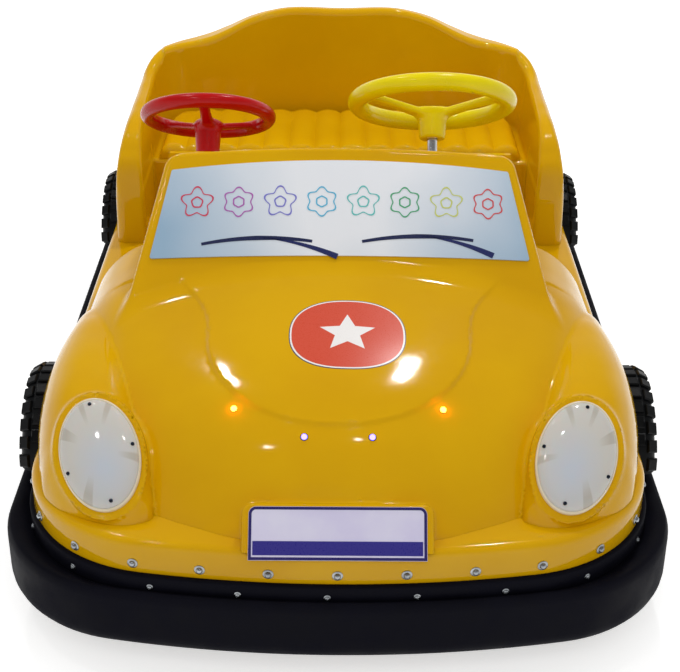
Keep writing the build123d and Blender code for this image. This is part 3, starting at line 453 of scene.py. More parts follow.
def tray_parts():
    """Loops of points with their faces, each part of the moulding's closed skin."""
    skirt = [at_height(outline(SKIRT, inset), z) for inset, z in SKIRT_ROWS]
    skirt += [at_height(outline(SKIRT, come), LEDGE_TOP - to_go)
              for to_go, come in bend(LEDGE_ROUND, (22.5, 45, 67.5, 90))]
    quarter = (0, 30, 60, 90)
    well = [opening(*WELL, to_go, LEDGE_TOP - come) for to_go, come in bend(WELL_ROUND, quarter)]
    well += [opening(*WELL, -come, FLOOR_TOP + to_go) for to_go, come in bend(FLOOR_ROUND, quarter)]
    under = [opening(*WELL, WALL_THICK, z) for z in (LEDGE_TOP - WALL_THICK, FLOOR_UNDER)]
    bays = [[opening(*bay, 0, z) for z in (LEDGE_TOP, LEDGE_TOP - WALL_THICK)]
            for bay in (FRONT_BAY, REAR_BAY)]
    for wall in (skirt, well, under, *bays):
        yield skin(wall)
    for loop in (well[-1], under[-1]):
        yield loop.tolist(), [tuple(range(len(loop)))]
    for outer, holes in ((skirt[-1], (well[0], *(bay[0] for bay in bays))),
                         (skirt[0], (under[0], *(bay[1] for bay in bays)))):
        loops = [[Vector(p) for p in loop] for loop in (outer, *holes)]
        yield [p for loop in loops for p in loop], tessellate_polygon(loops)


tray = closed_object("lower_body_moulding", *gathered(tray_parts()), gelcoat, sharp=40)
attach(tray, "car")
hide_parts("lower_body")

# washer, then a domed head: radius, height
DOME_BOLT = ((0.0001, -0.002), (0.0088, -0.002), (0.0088, 0.0010), (0.0080, 0.0016), (0.0056, 0.0018),
             (0.0054, 0.0032), (0.0046, 0.0050), (0.0030, 0.0062), (0.0014, 0.0066), (0.0001, 0.0067))
SKIRT_BOLTS, SKIRT_BOLT_Z = 49, 0.2375
bolt = closed_object("bolt", *spun(DOME_BOLT, 14), zinc_plate)
line = outline(SKIRT)
skirt_bolts = copies_along("skirt_bolts", bolt, at_height(line, SKIRT_BOLT_Z), outward(line),
                           SKIRT_BOLTS, zinc_plate)
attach(skirt_bolts, "car")


# ---------------------------------------------------------------- running gear
# Solid rubber tyres pressed on cast nylon centres; the driven front wheel turns in a welded fork
# with a geared motor on its leg.  All of it is below the deck.
tyre_rubber = surface("tyre_rubber", ("17171A", "232326"), 30, (0.60, 0.80), 1.5, 0.12)
# cast nylon: off grey, waxy and even
nylon = surface("cast_nylon", ("8E9194", "9B9EA1"), 50, (0.35, 0.50), 1.2, 0.03)
# cast aluminium housing under a grey paint: coarse, slightly pebbled
motor_paint = surface("painted_casting", ("4A4E53", "5A5F65"), 20, (0.40, 0.60), 2.0, 0.15)
finish_nodes(tyre_rubber, "drive_tyre", "rear_tyre_left", "rear_tyre_right")
finish_nodes(nylon, "drive_hub", "rear_hub_left", "rear_hub_right")
finish_nodes(motor_paint, "drive_motor")
finish_nodes(powder_coat, "fork_frame")


# ---------------------------------------------------------------- steering linkage
# Steel bearing post on the floor, a drop arm with a ball, and the rod that pulls the fork.  The
# moving parts are zinc plated, the shafts are ground bar with a bright finish.
ground_bar = surface("ground_steel_bar", ("C9CBCC", "B9BCBE"), 8, (0.16, 0.30), 0.6, 0.006, Metallic=1.0)
finish_nodes(powder_coat, "steering_post")
finish_nodes(zinc_plate, "drop_arm", "tie_rod")
finish_nodes(ground_bar, "driver_shaft", "passenger_shaft")


# ---------------------------------------------------------------- pedal and batteries
# A moulded rubber foot plate on the well floor, and the battery box on its tray under the bench.
pedal_rubber = surface("ribbed_rubber", ("1A1A1C", "252527"), 20, (0.55, 0.75), 2.5, 0.25)
# polypropylene case: mid grey with a faint spark eroded grain
battery_case = surface("polypropylene_case", ("5C6064", "666A6F"), 40, (0.42, 0.58), 1.0, 0.04)
finish_nodes(pedal_rubber, "accelerator_pedal")
finish_nodes(battery_case, "battery_pack")

# ---------------------------------------------------------------- front cowl
# Nose, fenders, bonnet and windscreen frame are one hand laid glass fibre moulding with a glossy
# yellow gelcoat.  It is drawn as a solid given by its distance, and the sheet that its outside
# makes is trimmed where the moulding is cut and then given the thickness of the laminate.
WALL = 0.006
SEAT_GAP = 0.0003

# nose and bonnet, millimetres: y, half width at the foot and at the shoulder, shoulder, crown
HULL = (
    (-929, 60, 36, 276, 279),
    (-908, 170, 100, 297, 307),
    (-880, 240, 145, 316, 342),
    (-820, 345, 205, 356, 398),
    (-750, 420, 255, 388, 432),
    (-650, 465, 295, 420, 460),
    (-520, 485, 335, 450, 486),
    (-400, 490, 365, 468, 508),
    (-300, 480, 370, 472, 518),
    (-200, 465, 365, 480, 520),
)
# fender, millimetres: y, centre x, half width, crest
FENDER = (
    (-874, 345, 14, 276),
    (-862, 350, 44, 300),
    (-838, 370, 72, 330),
    (-800, 390, 90, 365),
    (-750, 405, 94, 395),
    (-690, 418, 95, 415),
    (-600, 430, 94, 426),
    (-500, 437, 86, 428),
    (-420, 438, 76, 424),
    (-350, 440, 70, 406),
    (-290, 444, 68, 355),
    (-240, 447, 68, 306),
    (-200, 448, 66, 276),
)
FOOT = 270                     # sections run below the ledge


def between(table, y):
    """The columns of a table at y, along smooth curves through its rows."""
    rows = np.array(table, dtype=float) * MM
    places, columns = rows[:, 0], rows[:, 1:]
    slopes = np.gradient(columns, places, axis=0)
    n = np.clip(np.searchsorted(places, y) - 1, 0, len(places) - 2)
    span = places[n + 1] - places[n]
    t = np.clip((y - places[n]) / span, 0, 1)
    shapes = (2 * t**3 - 3 * t**2 + 1, t**3 - 2 * t**2 + t, 3 * t**2 - 2 * t**3, t**3 - t**2)
    return [shapes[0] * c[n] + shapes[1] * span * s[n] + shapes[2] * c[n + 1] + shapes[3] * span * s[n + 1]
            for c, s in zip(columns.T, slopes.T)]


def meet(a, b, r):
    """Common part of two solids given as distances, with its edge rounded by r."""
    return np.minimum(np.maximum(a, b) + r, 0) + np.hypot(np.maximum(a + r, 0), np.maximum(b + r, 0)) - r


def join(a, b, r):
    """Two solids as one, with a fillet of r between them."""
    return -meet(-a, -b, r)


def ease(v):
    """Smooth step from 0 to 1."""
    v = np.clip(v, 0, 1)
    return v * v * (3 - 2 * v)


def hull_field(x, y, z):
    """Bonnet section: a crown arc, then a tangent arc down to the foot."""
    x = np.abs(x)
    foot, shoulder, side, crown = between(HULL, y)
    low = FOOT * MM
    rise = crown - side
    crown_r = (shoulder**2 + rise**2) / (2 * rise)
    crown_z = crown - crown_r
    across, up = -shoulder / crown_r, (crown_z - side) / crown_r       # inward at the shoulder
    to_foot = (foot - shoulder) * across + (low - side) * up
    side_r = ((foot - shoulder)**2 + (low - side)**2) / (2 * to_foot)
    side_x, side_z = shoulder + side_r * across, side + side_r * up
    on_crown = x * (side - crown_z) < (z - crown_z) * shoulder
    section = np.where(on_crown & (z > crown_z), np.hypot(x, z - crown_z) - crown_r,
                       np.hypot(x - side_x, z - side_z) - side_r)
    return np.maximum(section, HULL[0][0] * MM - y)


FENDER_SQUARE = 2.5            # 2 is an ellipse


def fender_field(x, y, z):
    """Squarish half ellipse on the ledge, as a distance to first order."""
    middle, half, crest = between(FENDER, y)
    tall, n = crest - FOOT * MM, FENDER_SQUARE
    u, v = np.abs((np.abs(x) - middle) / half), np.abs((z - FOOT * MM) / tall)
    r = np.maximum((u**n + v**n) ** (1 / n), 1e-6)
    slope = np.hypot((u / r) ** (n - 1) / half, (v / r) ** (n - 1) / tall)
    ends = np.maximum(FENDER[0][0] * MM - y, y - FENDER[-1][0] * MM)
    return np.maximum((r - 1) / slope, ends)


BONNET_Y, BONNET_R, FLARE_R = -0.56, 0.232, 0.200
BONNET_STEP, STEP_SOFT = 0.005, 0.008
FADE_OUT, FADE_SOFT = 0.45, 0.10           # the step dies out towards the sides


def bonnet_edge(x, y):
    """Distance in plan from the edge of the bonnet panel: a round tongue that flares behind."""
    tongue = np.hypot(x, y - BONNET_Y) - BONNET_R
    flare = FLARE_R - np.hypot(np.abs(x) - BONNET_R - FLARE_R, y - BONNET_Y)
    behind = FLARE_R - (y - BONNET_Y)
    return np.where(y < BONNET_Y, tongue, np.where(np.abs(x) < BONNET_R + FLARE_R, flare, behind))


# windscreen frame: its front plane leans back from the bonnet
FRAME_FOOT, FRAME_HEAD = (-0.412, 0.500), (-0.2444, 0.6828)     # y, z
FRAME_FOOT_HALF, FRAME_HEAD_HALF = 0.374, 0.319
FRAME_DEPTH, FRAME_CORNER, FRAME_EDGE, FRAME_CROWN = 0.034, 0.024, 0.009, 0.014
FRAME_HEIGHT = math.hypot(FRAME_HEAD[0] - FRAME_FOOT[0], FRAME_HEAD[1] - FRAME_FOOT[1])
UP_SLOPE = ((FRAME_HEAD[0] - FRAME_FOOT[0]) / FRAME_HEIGHT, (FRAME_HEAD[1] - FRAME_FOOT[1]) / FRAME_HEIGHT)


def frame_field(x, y, z):
    """Leaning slab with a crowned top edge and round corners."""
    along_y, along_z = y - FRAME_FOOT[0], z - FRAME_FOOT[1]
    up = along_y * UP_SLOPE[0] + along_z * UP_SLOPE[1]
    out = along_z * UP_SLOPE[0] - along_y * UP_SLOPE[1]
    narrowing = (FRAME_FOOT_HALF - FRAME_HEAD_HALF) / FRAME_HEIGHT
    side = (np.abs(x) - FRAME_FOOT_HALF + up * narrowing) / math.hypot(1, narrowing)
    top = up - FRAME_HEIGHT - FRAME_CROWN * (0.5 - (x / FRAME_HEAD_HALF) ** 2)
    outline = meet(side, top, FRAME_CORNER)
    return meet(outline, np.abs(out + FRAME_DEPTH / 2) - FRAME_DEPTH / 2, FRAME_EDGE)


ARCH_Y, ARCH_Z, ARCH_R, ARCH_X, ARCH_EDGE = -0.483, 0.190, 0.162, 0.450, 0.004
CREASE, FRAME_FILLET, PAD_FILLET, BOSS_FILLET, ARCH_ROUND = 0.004, 0.016, 0.007, 0.010, 0.003

# bosses of the headlights: rim centre on the driver's side, facing, its own x axis, half axes; the
# boss stands out round the rim by a margin, and a dish is sunk in it for the lamp
LAMP_FACING = (0.064, -0.624, 0.778)
LAMP_PLACE = frame_of((0.388, -0.7876, 0.3593), LAMP_FACING, (0.956, -0.183, -0.226))
LAMP_HALF, LAMP_MARGIN, LAMP_DEPTH, BOSS_EDGE = (0.066, 0.100), 0.009, 0.060, 0.002
DISH_MARGIN, DISH_EDGE, DISH_ROUND = 0.004, 0.002, 0.006
# pad behind the plate: its centre, how far it leans back, half sizes, depth, corners
PLATE_LEAN = math.radians(39)
PLATE_PLACE = frame_of((0, -0.9250, 0.3040), (0, -math.cos(PLATE_LEAN), math.sin(PLATE_LEAN)), (1, 0, 0))
PAD_HALF, PAD_DEPTH, PAD_CORNER, PAD_EDGE = (0.151, 0.0475), 0.040, 0.016, 0.004


def inside_place(place, x, y, z):
    """Coordinates in a place of points in the car."""
    back = np.array(place.inverted())
    return [back[n][0] * x + back[n][1] * y + back[n][2] * z + back[n][3] for n in range(3)]


def cowl_field(x, y, z):
    """The whole moulding: bonnet, fenders, frame, pad and bosses joined, dishes and arches cut."""
    step = BONNET_STEP * ease((FADE_OUT - np.abs(x)) / FADE_SOFT)
    raised = hull_field(x, y, z) - step * ease(-bonnet_edge(x, y) / STEP_SOFT)
    body = join(raised, fender_field(x, y, z), CREASE)
    body = join(body, frame_field(x, y, z), FRAME_FILLET)
    u, v, w = inside_place(PLATE_PLACE, x, y, z)
    pad = meet(np.abs(u) - PAD_HALF[0], np.abs(v) - PAD_HALF[1], PAD_CORNER)
    pad = meet(pad, np.abs(w + PAD_DEPTH / 2) - PAD_DEPTH / 2, PAD_EDGE)
    body = join(body, pad, PAD_FILLET)
    u, v, w = inside_place(LAMP_PLACE, np.abs(x), y, z)
    oval = (np.hypot(u / LAMP_HALF[0], v / LAMP_HALF[1]) - 1) * LAMP_HALF[0]
    boss = meet(oval - LAMP_MARGIN, np.abs(w + LAMP_DEPTH / 2) - LAMP_DEPTH / 2, BOSS_EDGE)
    body = join(body, boss, BOSS_FILLET)
    body = meet(body, -meet(oval - DISH_MARGIN, -w, DISH_EDGE), DISH_ROUND)
    arch = meet(np.hypot(y - ARCH_Y, z - ARCH_Z) - ARCH_R, ARCH_X - np.abs(x), ARCH_EDGE)
    return meet(body, -arch, ARCH_ROUND)


def sheet_of(field, low, high, step, cuts=()):
    """Points, faces and slopes of the sheet where a field is zero.

    Each grid cell that the sheet passes through gets one point, pulled onto the sheet.  Each cut is
    a point and a direction, and what lies in that direction is trimmed off.
    """
    axes = [np.arange(a, b + step, step) for a, b in zip(low, high)]
    grid_y, grid_z = np.meshgrid(axes[1], axes[2], indexing="ij")
    values = np.stack([field(np.full_like(grid_y, x), grid_y, grid_z) for x in axes[0]])
    inside = values < 0
    size = [n - 1 for n in values.shape]
    corners = [(i, j, k) for i in (0, 1) for j in (0, 1) for k in (0, 1)]
    count = sum(inside[tuple(slice(o, o + n) for o, n in zip(c, size))].astype(np.int8) for c in corners)
    cells = np.nonzero((count > 0) & (count < 8))
    number = np.full(size, -1, dtype=np.int64)
    number[cells] = np.arange(len(cells[0]))

    total, hits = np.zeros((len(cells[0]), 3)), np.zeros(len(cells[0]))
    for a in corners:
        for axis in range(3):
            if a[axis]:
                continue
            b = tuple(v + (n == axis) for n, v in enumerate(a))
            start, end = (values[tuple(c + o for c, o in zip(cells, e))] for e in (a, b))
            crossed = (start < 0) != (end < 0)
            part = np.where(crossed, start / np.where(crossed, start - end, 1), 0)
            total += (np.array(a) + np.outer(part, np.eye(3)[axis])) * crossed[:, None]
            hits += crossed
    points = np.stack([axes[n][cells[n]] for n in range(3)], 1) + step * total / hits[:, None]

    def slope(p):
        shifts = np.eye(3) * step * 0.05
        return np.stack([(field(*(p + s).T) - field(*(p - s).T)) / (0.1 * step) for s in shifts], 1)

    for _ in range(3):
        g = slope(points)
        move = field(*points.T) / np.maximum((g * g).sum(1), 1e-6)
        points = points - np.clip(move, -step, step)[:, None] * g

    rings = []
    for axis in range(3):
        u, v = (axis + 1) % 3, (axis + 2) % 3
        near = [slice(1, n) for n in size]
        near[axis] = slice(0, size[axis])
        far = list(near)
        far[axis] = slice(1, size[axis] + 1)
        start, end = inside[tuple(near)], inside[tuple(far)]
        base = [w + (n != axis) for n, w in enumerate(np.nonzero(start != end))]
        ring = np.stack([number[tuple(w - du * (n == u) - dv * (n == v) for n, w in enumerate(base))]
                         for du, dv in ((1, 1), (0, 1), (0, 0), (1, 0))], 1)
        outward = start[start != end]
        ring[~outward] = ring[~outward][:, ::-1]
        rings.append(ring)

    body = bmesh.new()
    verts = [body.verts.new(p) for p in points.tolist()]
    for ring in np.concatenate(rings).tolist():
        body.faces.new([verts[n] for n in ring])
    for at, away in cuts:
        bmesh.ops.bisect_plane(body, geom=body.verts[:] + body.edges[:] + body.faces[:], dist=1e-6,
                               plane_co=at, plane_no=away, clear_outer=True)
    loose = [v for v in body.verts if not v.link_faces]
    bmesh.ops.delete(body, geom=loose, context="VERTS")
    body.verts.index_update()
    points = np.array([v.co for v in body.verts])
    faces = [[v.index for v in f.verts] for f in body.faces]
    rim = [[v.index for v in e.verts] for e in body.edges if len(e.link_faces) == 1]
    rim = [pair if e.link_loops[0].vert.index == pair[0] else pair[::-1]
           for pair, e in zip(rim, (e for e in body.edges if len(e.link_faces) == 1))]
    body.free()
    g = slope(points)
    return points, faces, rim, g / np.maximum(np.linalg.norm(g, axis=1), 1e-9)[:, None]


def moulding(name, field, low, high, step, material, cuts=(), wall=0.0, place=None):
    """A smooth closed mesh of a field: a solid, or with a wall the sheet laid up to that thickness."""
    points, faces, rim, slopes = sheet_of(field, low, high, step, cuts)
    if place:
        turn = np.array(place)[:3, :3]
        points, slopes = points @ turn.T + np.array(place)[:3, 3], slopes @ turn.T
    normals = [slopes[n] for f in faces for n in f]
    if wall:
        count = len(points)
        points = np.concatenate([points, points - slopes * wall])
        back = [[n + count for n in reversed(f)] for f in faces]
        normals += [-slopes[n - count] for f in back for n in f]
        edge = []
        for a, b in rim:
            edge.append([b, a, a + count, b + count])
            across = np.cross(points[a] - points[b], slopes[b])
            normals += [across / max(np.linalg.norm(across), 1e-9)] * 4
        faces = faces + back + edge
    mesh = bpy.data.meshes.new(name)
    mesh.from_pydata(points.tolist(), [], faces)
    mesh.materials.append(material)
    mesh.shade_smooth()
    mesh.normals_split_custom_set([tuple(n) for n in normals])
    obj = bpy.data.objects.new(name, mesh)
    bpy.context.collection.objects.link(obj)
    return obj


# trimmed where it sits on the ledge and behind, at the doorway
COWL_LOW, COWL_HIGH, COWL_CELL = (-0.564, -0.95, 0.262), (0.564, -0.16, 0.70), 0.006
COWL_END = -0.2223
cowl = moulding("cowl", cowl_field, COWL_LOW, COWL_HIGH, COWL_CELL, gelcoat,
                cuts=(((0, 0, LEDGE_TOP + SEAT_GAP), (0, 0, -1)), ((0, COWL_END, 0), (0, 1, 0))), wall=WALL)
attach(cowl, "car")
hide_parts("front_cowl")


# ---------------------------------------------------------------- windscreen
# A thin acrylic sheet bonded on the frame, printed with a pale sky that runs from blue to near
# white, two wipers and a row of little outline flowers and stars.
SHEET_FACE, INK_THICK = 0.0035, 0.0004         # the sheet's face lies this far before the frame
ON_SHEET = frame_of((0, FRAME_FOOT[0] - UP_SLOPE[1] * SHEET_FACE, FRAME_FOOT[1] + UP_SLOPE[0] * SHEET_FACE),
                    (0, -UP_SLOPE[1], UP_SLOPE[0]), (1, 0, 0))     # x across, y up the slope


def sky_print():
    """Acrylic sheet: glassy over a print that fades across and up the sheet."""
    material, tree = new_material("printed_acrylic")
    place = add(tree, "ShaderNodeTexCoord").outputs["Object"]
    parts = add(tree, "ShaderNodeSeparateXYZ", {0: place})
    beside = add(tree, "ShaderNodeMath", {0: parts.outputs["X"], 1: 0.02}, operation="SUBTRACT")
    beside = add(tree, "ShaderNodeMath", {0: beside.outputs[0]}, operation="ABSOLUTE")
    across = add(tree, "ShaderNodeMapRange", {"Value": beside.outputs[0], "From Min": 0.06, "From Max": 0.36,
                                              "To Min": 0.95, "To Max": 0.0})
    up = add(tree, "ShaderNodeMapRange", {"Value": parts.outputs["Z"], "From Min": 0.52, "From Max": 0.68,
                                          "To Min": -0.10, "To Max": 0.25})
    cloud = add(tree, "ShaderNodeTexNoise", {"Vector": place, "Scale": 1000 / 260, "Detail": 2.0})
    puff = add(tree, "ShaderNodeMapRange", {"Value": cloud.outputs[0], "From Min": 0.3, "From Max": 0.7,
                                            "To Min": -0.15, "To Max": 0.15})
    total = add(tree, "ShaderNodeMath", {0: across.outputs[0], 1: up.outputs[0]})
    total = add(tree, "ShaderNodeMath", {0: total.outputs[0], 1: puff.outputs[0]}, use_clamp=True)
    colour = add(tree, "ShaderNodeMix", {0: total.outputs[0], 6: srgb("98B6D0"), 7: srgb("EEF1F7")},
                 data_type="RGBA")
    fine = add(tree, "ShaderNodeTexNoise", {"Vector": place, "Scale": 1000 / 40, "Detail": 2.0})
    rough = add(tree, "ShaderNodeMapRange", {"Value": fine.outputs[0], "To Min": 0.10, "To Max": 0.24})
    shader = add(tree, "ShaderNodeBsdfPrincipled", {
        "Base Color": colour.outputs[2], "Roughness": rough.outputs[0], "IOR": 1.49})
    add(tree, "ShaderNodeOutputMaterial", {"Surface": shader.outputs[0]})
    return material


finish_nodes(sky_print(), "windscreen_panel")


def ink_material():
    """Screen ink: flat and slightly raised, its colour kept with the print."""
    material, tree = new_material("screen_ink")
    ink = add(tree, "ShaderNodeAttribute", attribute_name="ink")
    place = add(tree, "ShaderNodeTexCoord").outputs["Object"]
    fine = add(tree, "ShaderNodeTexNoise", {"Vector": place, "Scale": 1000 / 1.5})
    rough = add(tree, "ShaderNodeMapRange", {"Value": fine.outputs[0], "To Min": 0.22, "To Max": 0.36})
    shader = add(tree, "ShaderNodeBsdfPrincipled", {
        "Base Color": ink.outputs["Color"], "Roughness": rough.outputs[0]})
    add(tree, "ShaderNodeOutputMaterial", {"Surface": shader.outputs[0]})
    return material


screen_ink = ink_material()


def printed(name, verts, faces, codes):
    """A closed mesh in screen ink, with a colour for each of its faces, on the car."""
    obj = closed_object(name, verts, faces, screen_ink)
    colours = [srgb(code) for face, code in zip(obj.data.polygons, codes) for _ in range(face.loop_total)]
    ink = obj.data.color_attributes.new("ink", "FLOAT_COLOR", "CORNER")
    ink.data.foreach_set("color", np.array(colours, dtype=float).ravel())
    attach(obj, "car")
    return obj


def inked(name, shapes, place):
    """One print of several closed bands, each (outer loop, inner loop or None, colour), on a face."""
    verts, faces, codes = [], [], []
    for outer, inner, code in shapes:
        start, count = len(verts), len(outer)
        rings = [outer] if inner is None else [outer, inner]
        for z in (0.0, INK_THICK):
            for ring_points in rings:
                verts += [place @ Vector((x, y, z)) for x, y in ring_points]
        new = []
        for n in range(count):
            m = (n + 1) % count
            if inner is None:
                new.append([n, m, count + m, count + n])
            else:
                a, b, c, d = 0, count, 2 * count, 3 * count      # outer and inner below, then above
                new += [[a + n, a + m, c + m, c + n], [b + m, b + n, d + n, d + m],
                        [c + n, c + m, d + m, d + n], [a + m, a + n, b + n, b + m]]
        if inner is None:
            new += [list(range(count, 2 * count)), list(range(count))[::-1]]
        faces += [[start + n for n in face] for face in new]
        codes += [code] * len(new)
    return printed(name, verts, faces, codes)


def petals(middle, radius, count, depth, steps):
    """A closed wavy outline: a flower with few petals, or a star."""
    angle = np.arange(steps) * 2 * math.pi / steps
    r = radius * (1 + depth * np.cos(count * angle))
    return np.column_stack([middle[0] + r * np.sin(angle), middle[1] + r * np.cos(angle)])


def band(points, width):
    """A ribbon outline through points, width (start, middle, end)."""
    points = np.array(points)
    along = np.gradient(points, axis=0)
    side = np.column_stack([-along[:, 1], along[:, 0]]) / np.linalg.norm(along, axis=1)[:, None]
    half = np.interp(np.linspace(0, 1, len(points)), (0, 0.5, 1), width)[:, None] / 2
    return np.concatenate([points + side * half, (points - side * half)[::-1]])


def bowed_line(start, end, rise):
    """A line from start to end that rises in its middle."""
    t = np.linspace(0, 1, 25)[:, None]
    return np.array(start) * (1 - t) + np.array(end) * t + np.array((0, rise)) * (4 * t * (1 - t))


# a row of outlines in turn with five and six petals, a small round one inside each
MOTIFS = ("D23A5A", "B060B4", "7C7CD0", "58B8DC", "66C4C0", "4CA878", "C9D070", "D64C50")
MOTIF_SIZE, MOTIF_LINE, HEART_SIZE, HEART_WAVE = 0.0265, 0.0026, 0.01113, 0.05
FIRST_MOTIF, MOTIF_STEP, MOTIF_UP, ROW_ARCH = -0.262, 0.0763, 0.142, 0.004
PETALS = ((5, 0.20), (6, 0.13))                # how many, how deep
shapes = []
for n, code in enumerate(MOTIFS):
    middle = (FIRST_MOTIF + n * MOTIF_STEP, MOTIF_UP + ROW_ARCH * math.cos((n - 3.5) * 0.4))
    count, wave = PETALS[n % 2]
    for size, depth, steps in ((MOTIF_SIZE, wave, 60), (HEART_SIZE, HEART_WAVE, 36)):
        shapes.append((petals(middle, size, count, depth, steps),
                       petals(middle, size - MOTIF_LINE, count, depth, steps), code))
# wipers: the arm's root and the blade's two ends, on the sheet
WIPERS = (((-0.004, 0.040), (-0.252, 0.062), (-0.050, 0.069)),
          ((0.280, 0.043), (0.041, 0.069), (0.244, 0.072)))
BLADE_RISE, ARM_RISE, ARM_SHARE = 0.009, 0.006, 0.54       # the arm ends over this share of the blade
for root, start, end in WIPERS:
    arm_end = (1 - ARM_SHARE) * np.array(start) + ARM_SHARE * np.array(end) + (0, BLADE_RISE + 0.001)
    shapes.append((band(bowed_line(start, end, BLADE_RISE), (0.0055, 0.0085, 0.0055)), None, "16204E"))
    shapes.append((band(bowed_line(arm_end, root, ARM_RISE), (0.0020, 0.0060, 0.0110)), None, "1A2460"))
screen_print = inked("windscreen_print", shapes, ON_SHEET)


# ---------------------------------------------------------------- bonnet badge
# A printed vinyl sticker laid on the bonnet: an orange red oval with a plain star, in a white and
# navy outline.
BADGE_AT, BADGE_HALF, STAR_R = (0.0145, -0.585), (0.096, 0.086), 0.050
WHITE_EDGE, NAVY_EDGE = 0.0030, 0.0045         # how far each outline stands out past the oval
BADGE_SQUARE, STAR_NOTCH = 2.4, 0.45           # 2 is an ellipse; the notches lie this far out
LAYER, FIRST_LAYER, STICKER_SUNK = 0.00027, 0.00033, 0.0005


def on_cowl(x, y):
    """Height of the cowl's outside over points in plan, found by halving."""
    low, high = np.full_like(x, 0.30), np.full_like(x, 0.60)
    for _ in range(30):
        middle = (low + high) / 2
        inside = cowl_field(x, y, middle) < 0
        low, high = np.where(inside, middle, low), np.where(inside, high, middle)
    return (low + high) / 2


def laid(name, layers):
    """Stickers given as rings of outlines in plan, laid on the cowl; each layer lies on the last."""
    verts, faces, codes = [], [], []
    for level, (edge, rings, code) in enumerate(layers):
        lift = FIRST_LAYER + LAYER * level
        loops = [edge * (1 - n / rings) + edge.mean(0) * (n / rings) for n in range(rings)]
        plan = np.concatenate(loops + [edge.mean(0)[None]])
        top = np.column_stack([plan, on_cowl(plan[:, 0], plan[:, 1]) + lift])
        foot = top[:len(edge)] - (0, 0, lift + STICKER_SUNK)
        start, count = len(verts), len(edge)
        verts += top.tolist() + foot.tolist()
        centre = rings * count
        new = [[centre + 1 + n for n in range(count)]]
        for n in range(count):
            m = (n + 1) % count
            new += [[a + n, a + m, a + count + m, a + count + n] for a in range(0, centre - count, count)]
            new.append([centre - count + n, centre - count + m, centre])
            new.append([n, centre + 1 + n, centre + 1 + m, m])
        faces += [[start + n for n in face] for face in new]
        codes += [code] * len(new)
    return printed(name, verts, faces, codes)


def oval(grow=0.0):
    """The badge's outline, grown on all sides."""
    angle = np.arange(96) * 2 * math.pi / 96
    sides = [(half + grow) * np.sign(part) * np.abs(part) ** (2 / BADGE_SQUARE)
             for half, part in zip(BADGE_HALF, (np.cos(angle), np.sin(angle)))]
    return np.column_stack(sides) + BADGE_AT


def star(points=5):
    """A plain star with straight sides, four steps to a side."""
    angle = np.arange(2 * points) * math.pi / points
    r = np.where(np.arange(2 * points) % 2 == 0, STAR_R, STAR_R * STAR_NOTCH)
    tips = np.column_stack([r * np.sin(angle), r * np.cos(angle)]) + BADGE_AT
    return np.concatenate([a + (b - a) * np.linspace(0, 1, 5)[:-1, None]
                           for a, b in zip(tips, np.roll(tips, -1, axis=0))])


badge = laid("bonnet_badge", ((oval(NAVY_EDGE), 12, "2A2A5E"), (oval(WHITE_EDGE), 12, "F4F0EE"),
                              (oval(), 12, "D8492C"), (star(), 6, "F4F0EE")))


# ---------------------------------------------------------------- marker lights
# Four small round diodes in the nose, two amber outside and two blue violet, each a clear epoxy
# dome in a thin black bezel.  They are lit.
def lit_epoxy(name, code, strength):
    """Clear tinted epoxy with the lit chip inside, a little uneven."""
    material, tree = new_material(name)
    place = add(tree, "ShaderNodeTexCoord").outputs["Object"]
    fine = add(tree, "ShaderNodeTexNoise", {"Vector": place, "Scale": 1000 / 1.0})
    level = add(tree, "ShaderNodeMapRange", {"Value": fine.outputs[0], "To Min": strength * 0.8,
                                             "To Max": strength * 1.2})
    shader = add(tree, "ShaderNodeBsdfPrincipled", {
        "Base Color": srgb(code), "Roughness": 0.15, "Emission Color": srgb(code),
        "Emission Strength": level.outputs[0]})
    add(tree, "ShaderNodeOutputMaterial", {"Surface": shader.outputs[0]})
    return material


def place_on_cowl(x, y):
    """The place of a point in plan, its z axis square to the cowl."""
    step = 0.001
    z = on_cowl(np.array([x, x + step, x]), np.array([y, y, y + step]))
    return frame_of((x, y, z[0]), (z[0] - z[1], z[0] - z[2], step), (1, 0, 0))


# radius, height; the bezel is a ring
LED_DOME = ((0.0001, -0.006), (0.0049, -0.006), (0.0049, 0.0012), (0.0045, 0.0030), (0.0033, 0.0046),
            (0.0017, 0.0054), (0.0001, 0.0056))
LED_BEZEL = ((0.0050, -0.006), (0.0066, -0.006), (0.0066, 0.0004), (0.0062, 0.0008), (0.0054, 0.0008),
             (0.0050, 0.0003))
LED_SIDES = 20
# colour, its code, distance from the middle, y, strength
LEDS = (("amber", "FF7A1C", 0.1715, -0.738, 40.0), ("blue", "6A60FF", 0.0547, -0.804, 6.0))
# abs: black, satin, as moulded
black_abs = surface("black_abs", ("121316", "1A1B1F"), 40, (0.34, 0.50), 1.4, 0.05)
for colour, code, x, y, strength in LEDS:
    places = [place_on_cowl(side * x, y) for side in (-1, 1)]
    domes = gathered(spun(LED_DOME, LED_SIDES, place=place) for place in places)
    bezels = gathered(spun(LED_BEZEL, LED_SIDES, place=place, hollow=True) for place in places)
    epoxy = lit_epoxy(f"lit_epoxy_{colour}", code, strength)
    lens = closed_object(f"marker_domes_{colour}", *domes, epoxy, 60)
    bezel = closed_object(f"marker_bezels_{colour}", *bezels, black_abs)
    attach(lens, "car")
    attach(bezel, "car")
    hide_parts(f"marker_lights_{colour}")


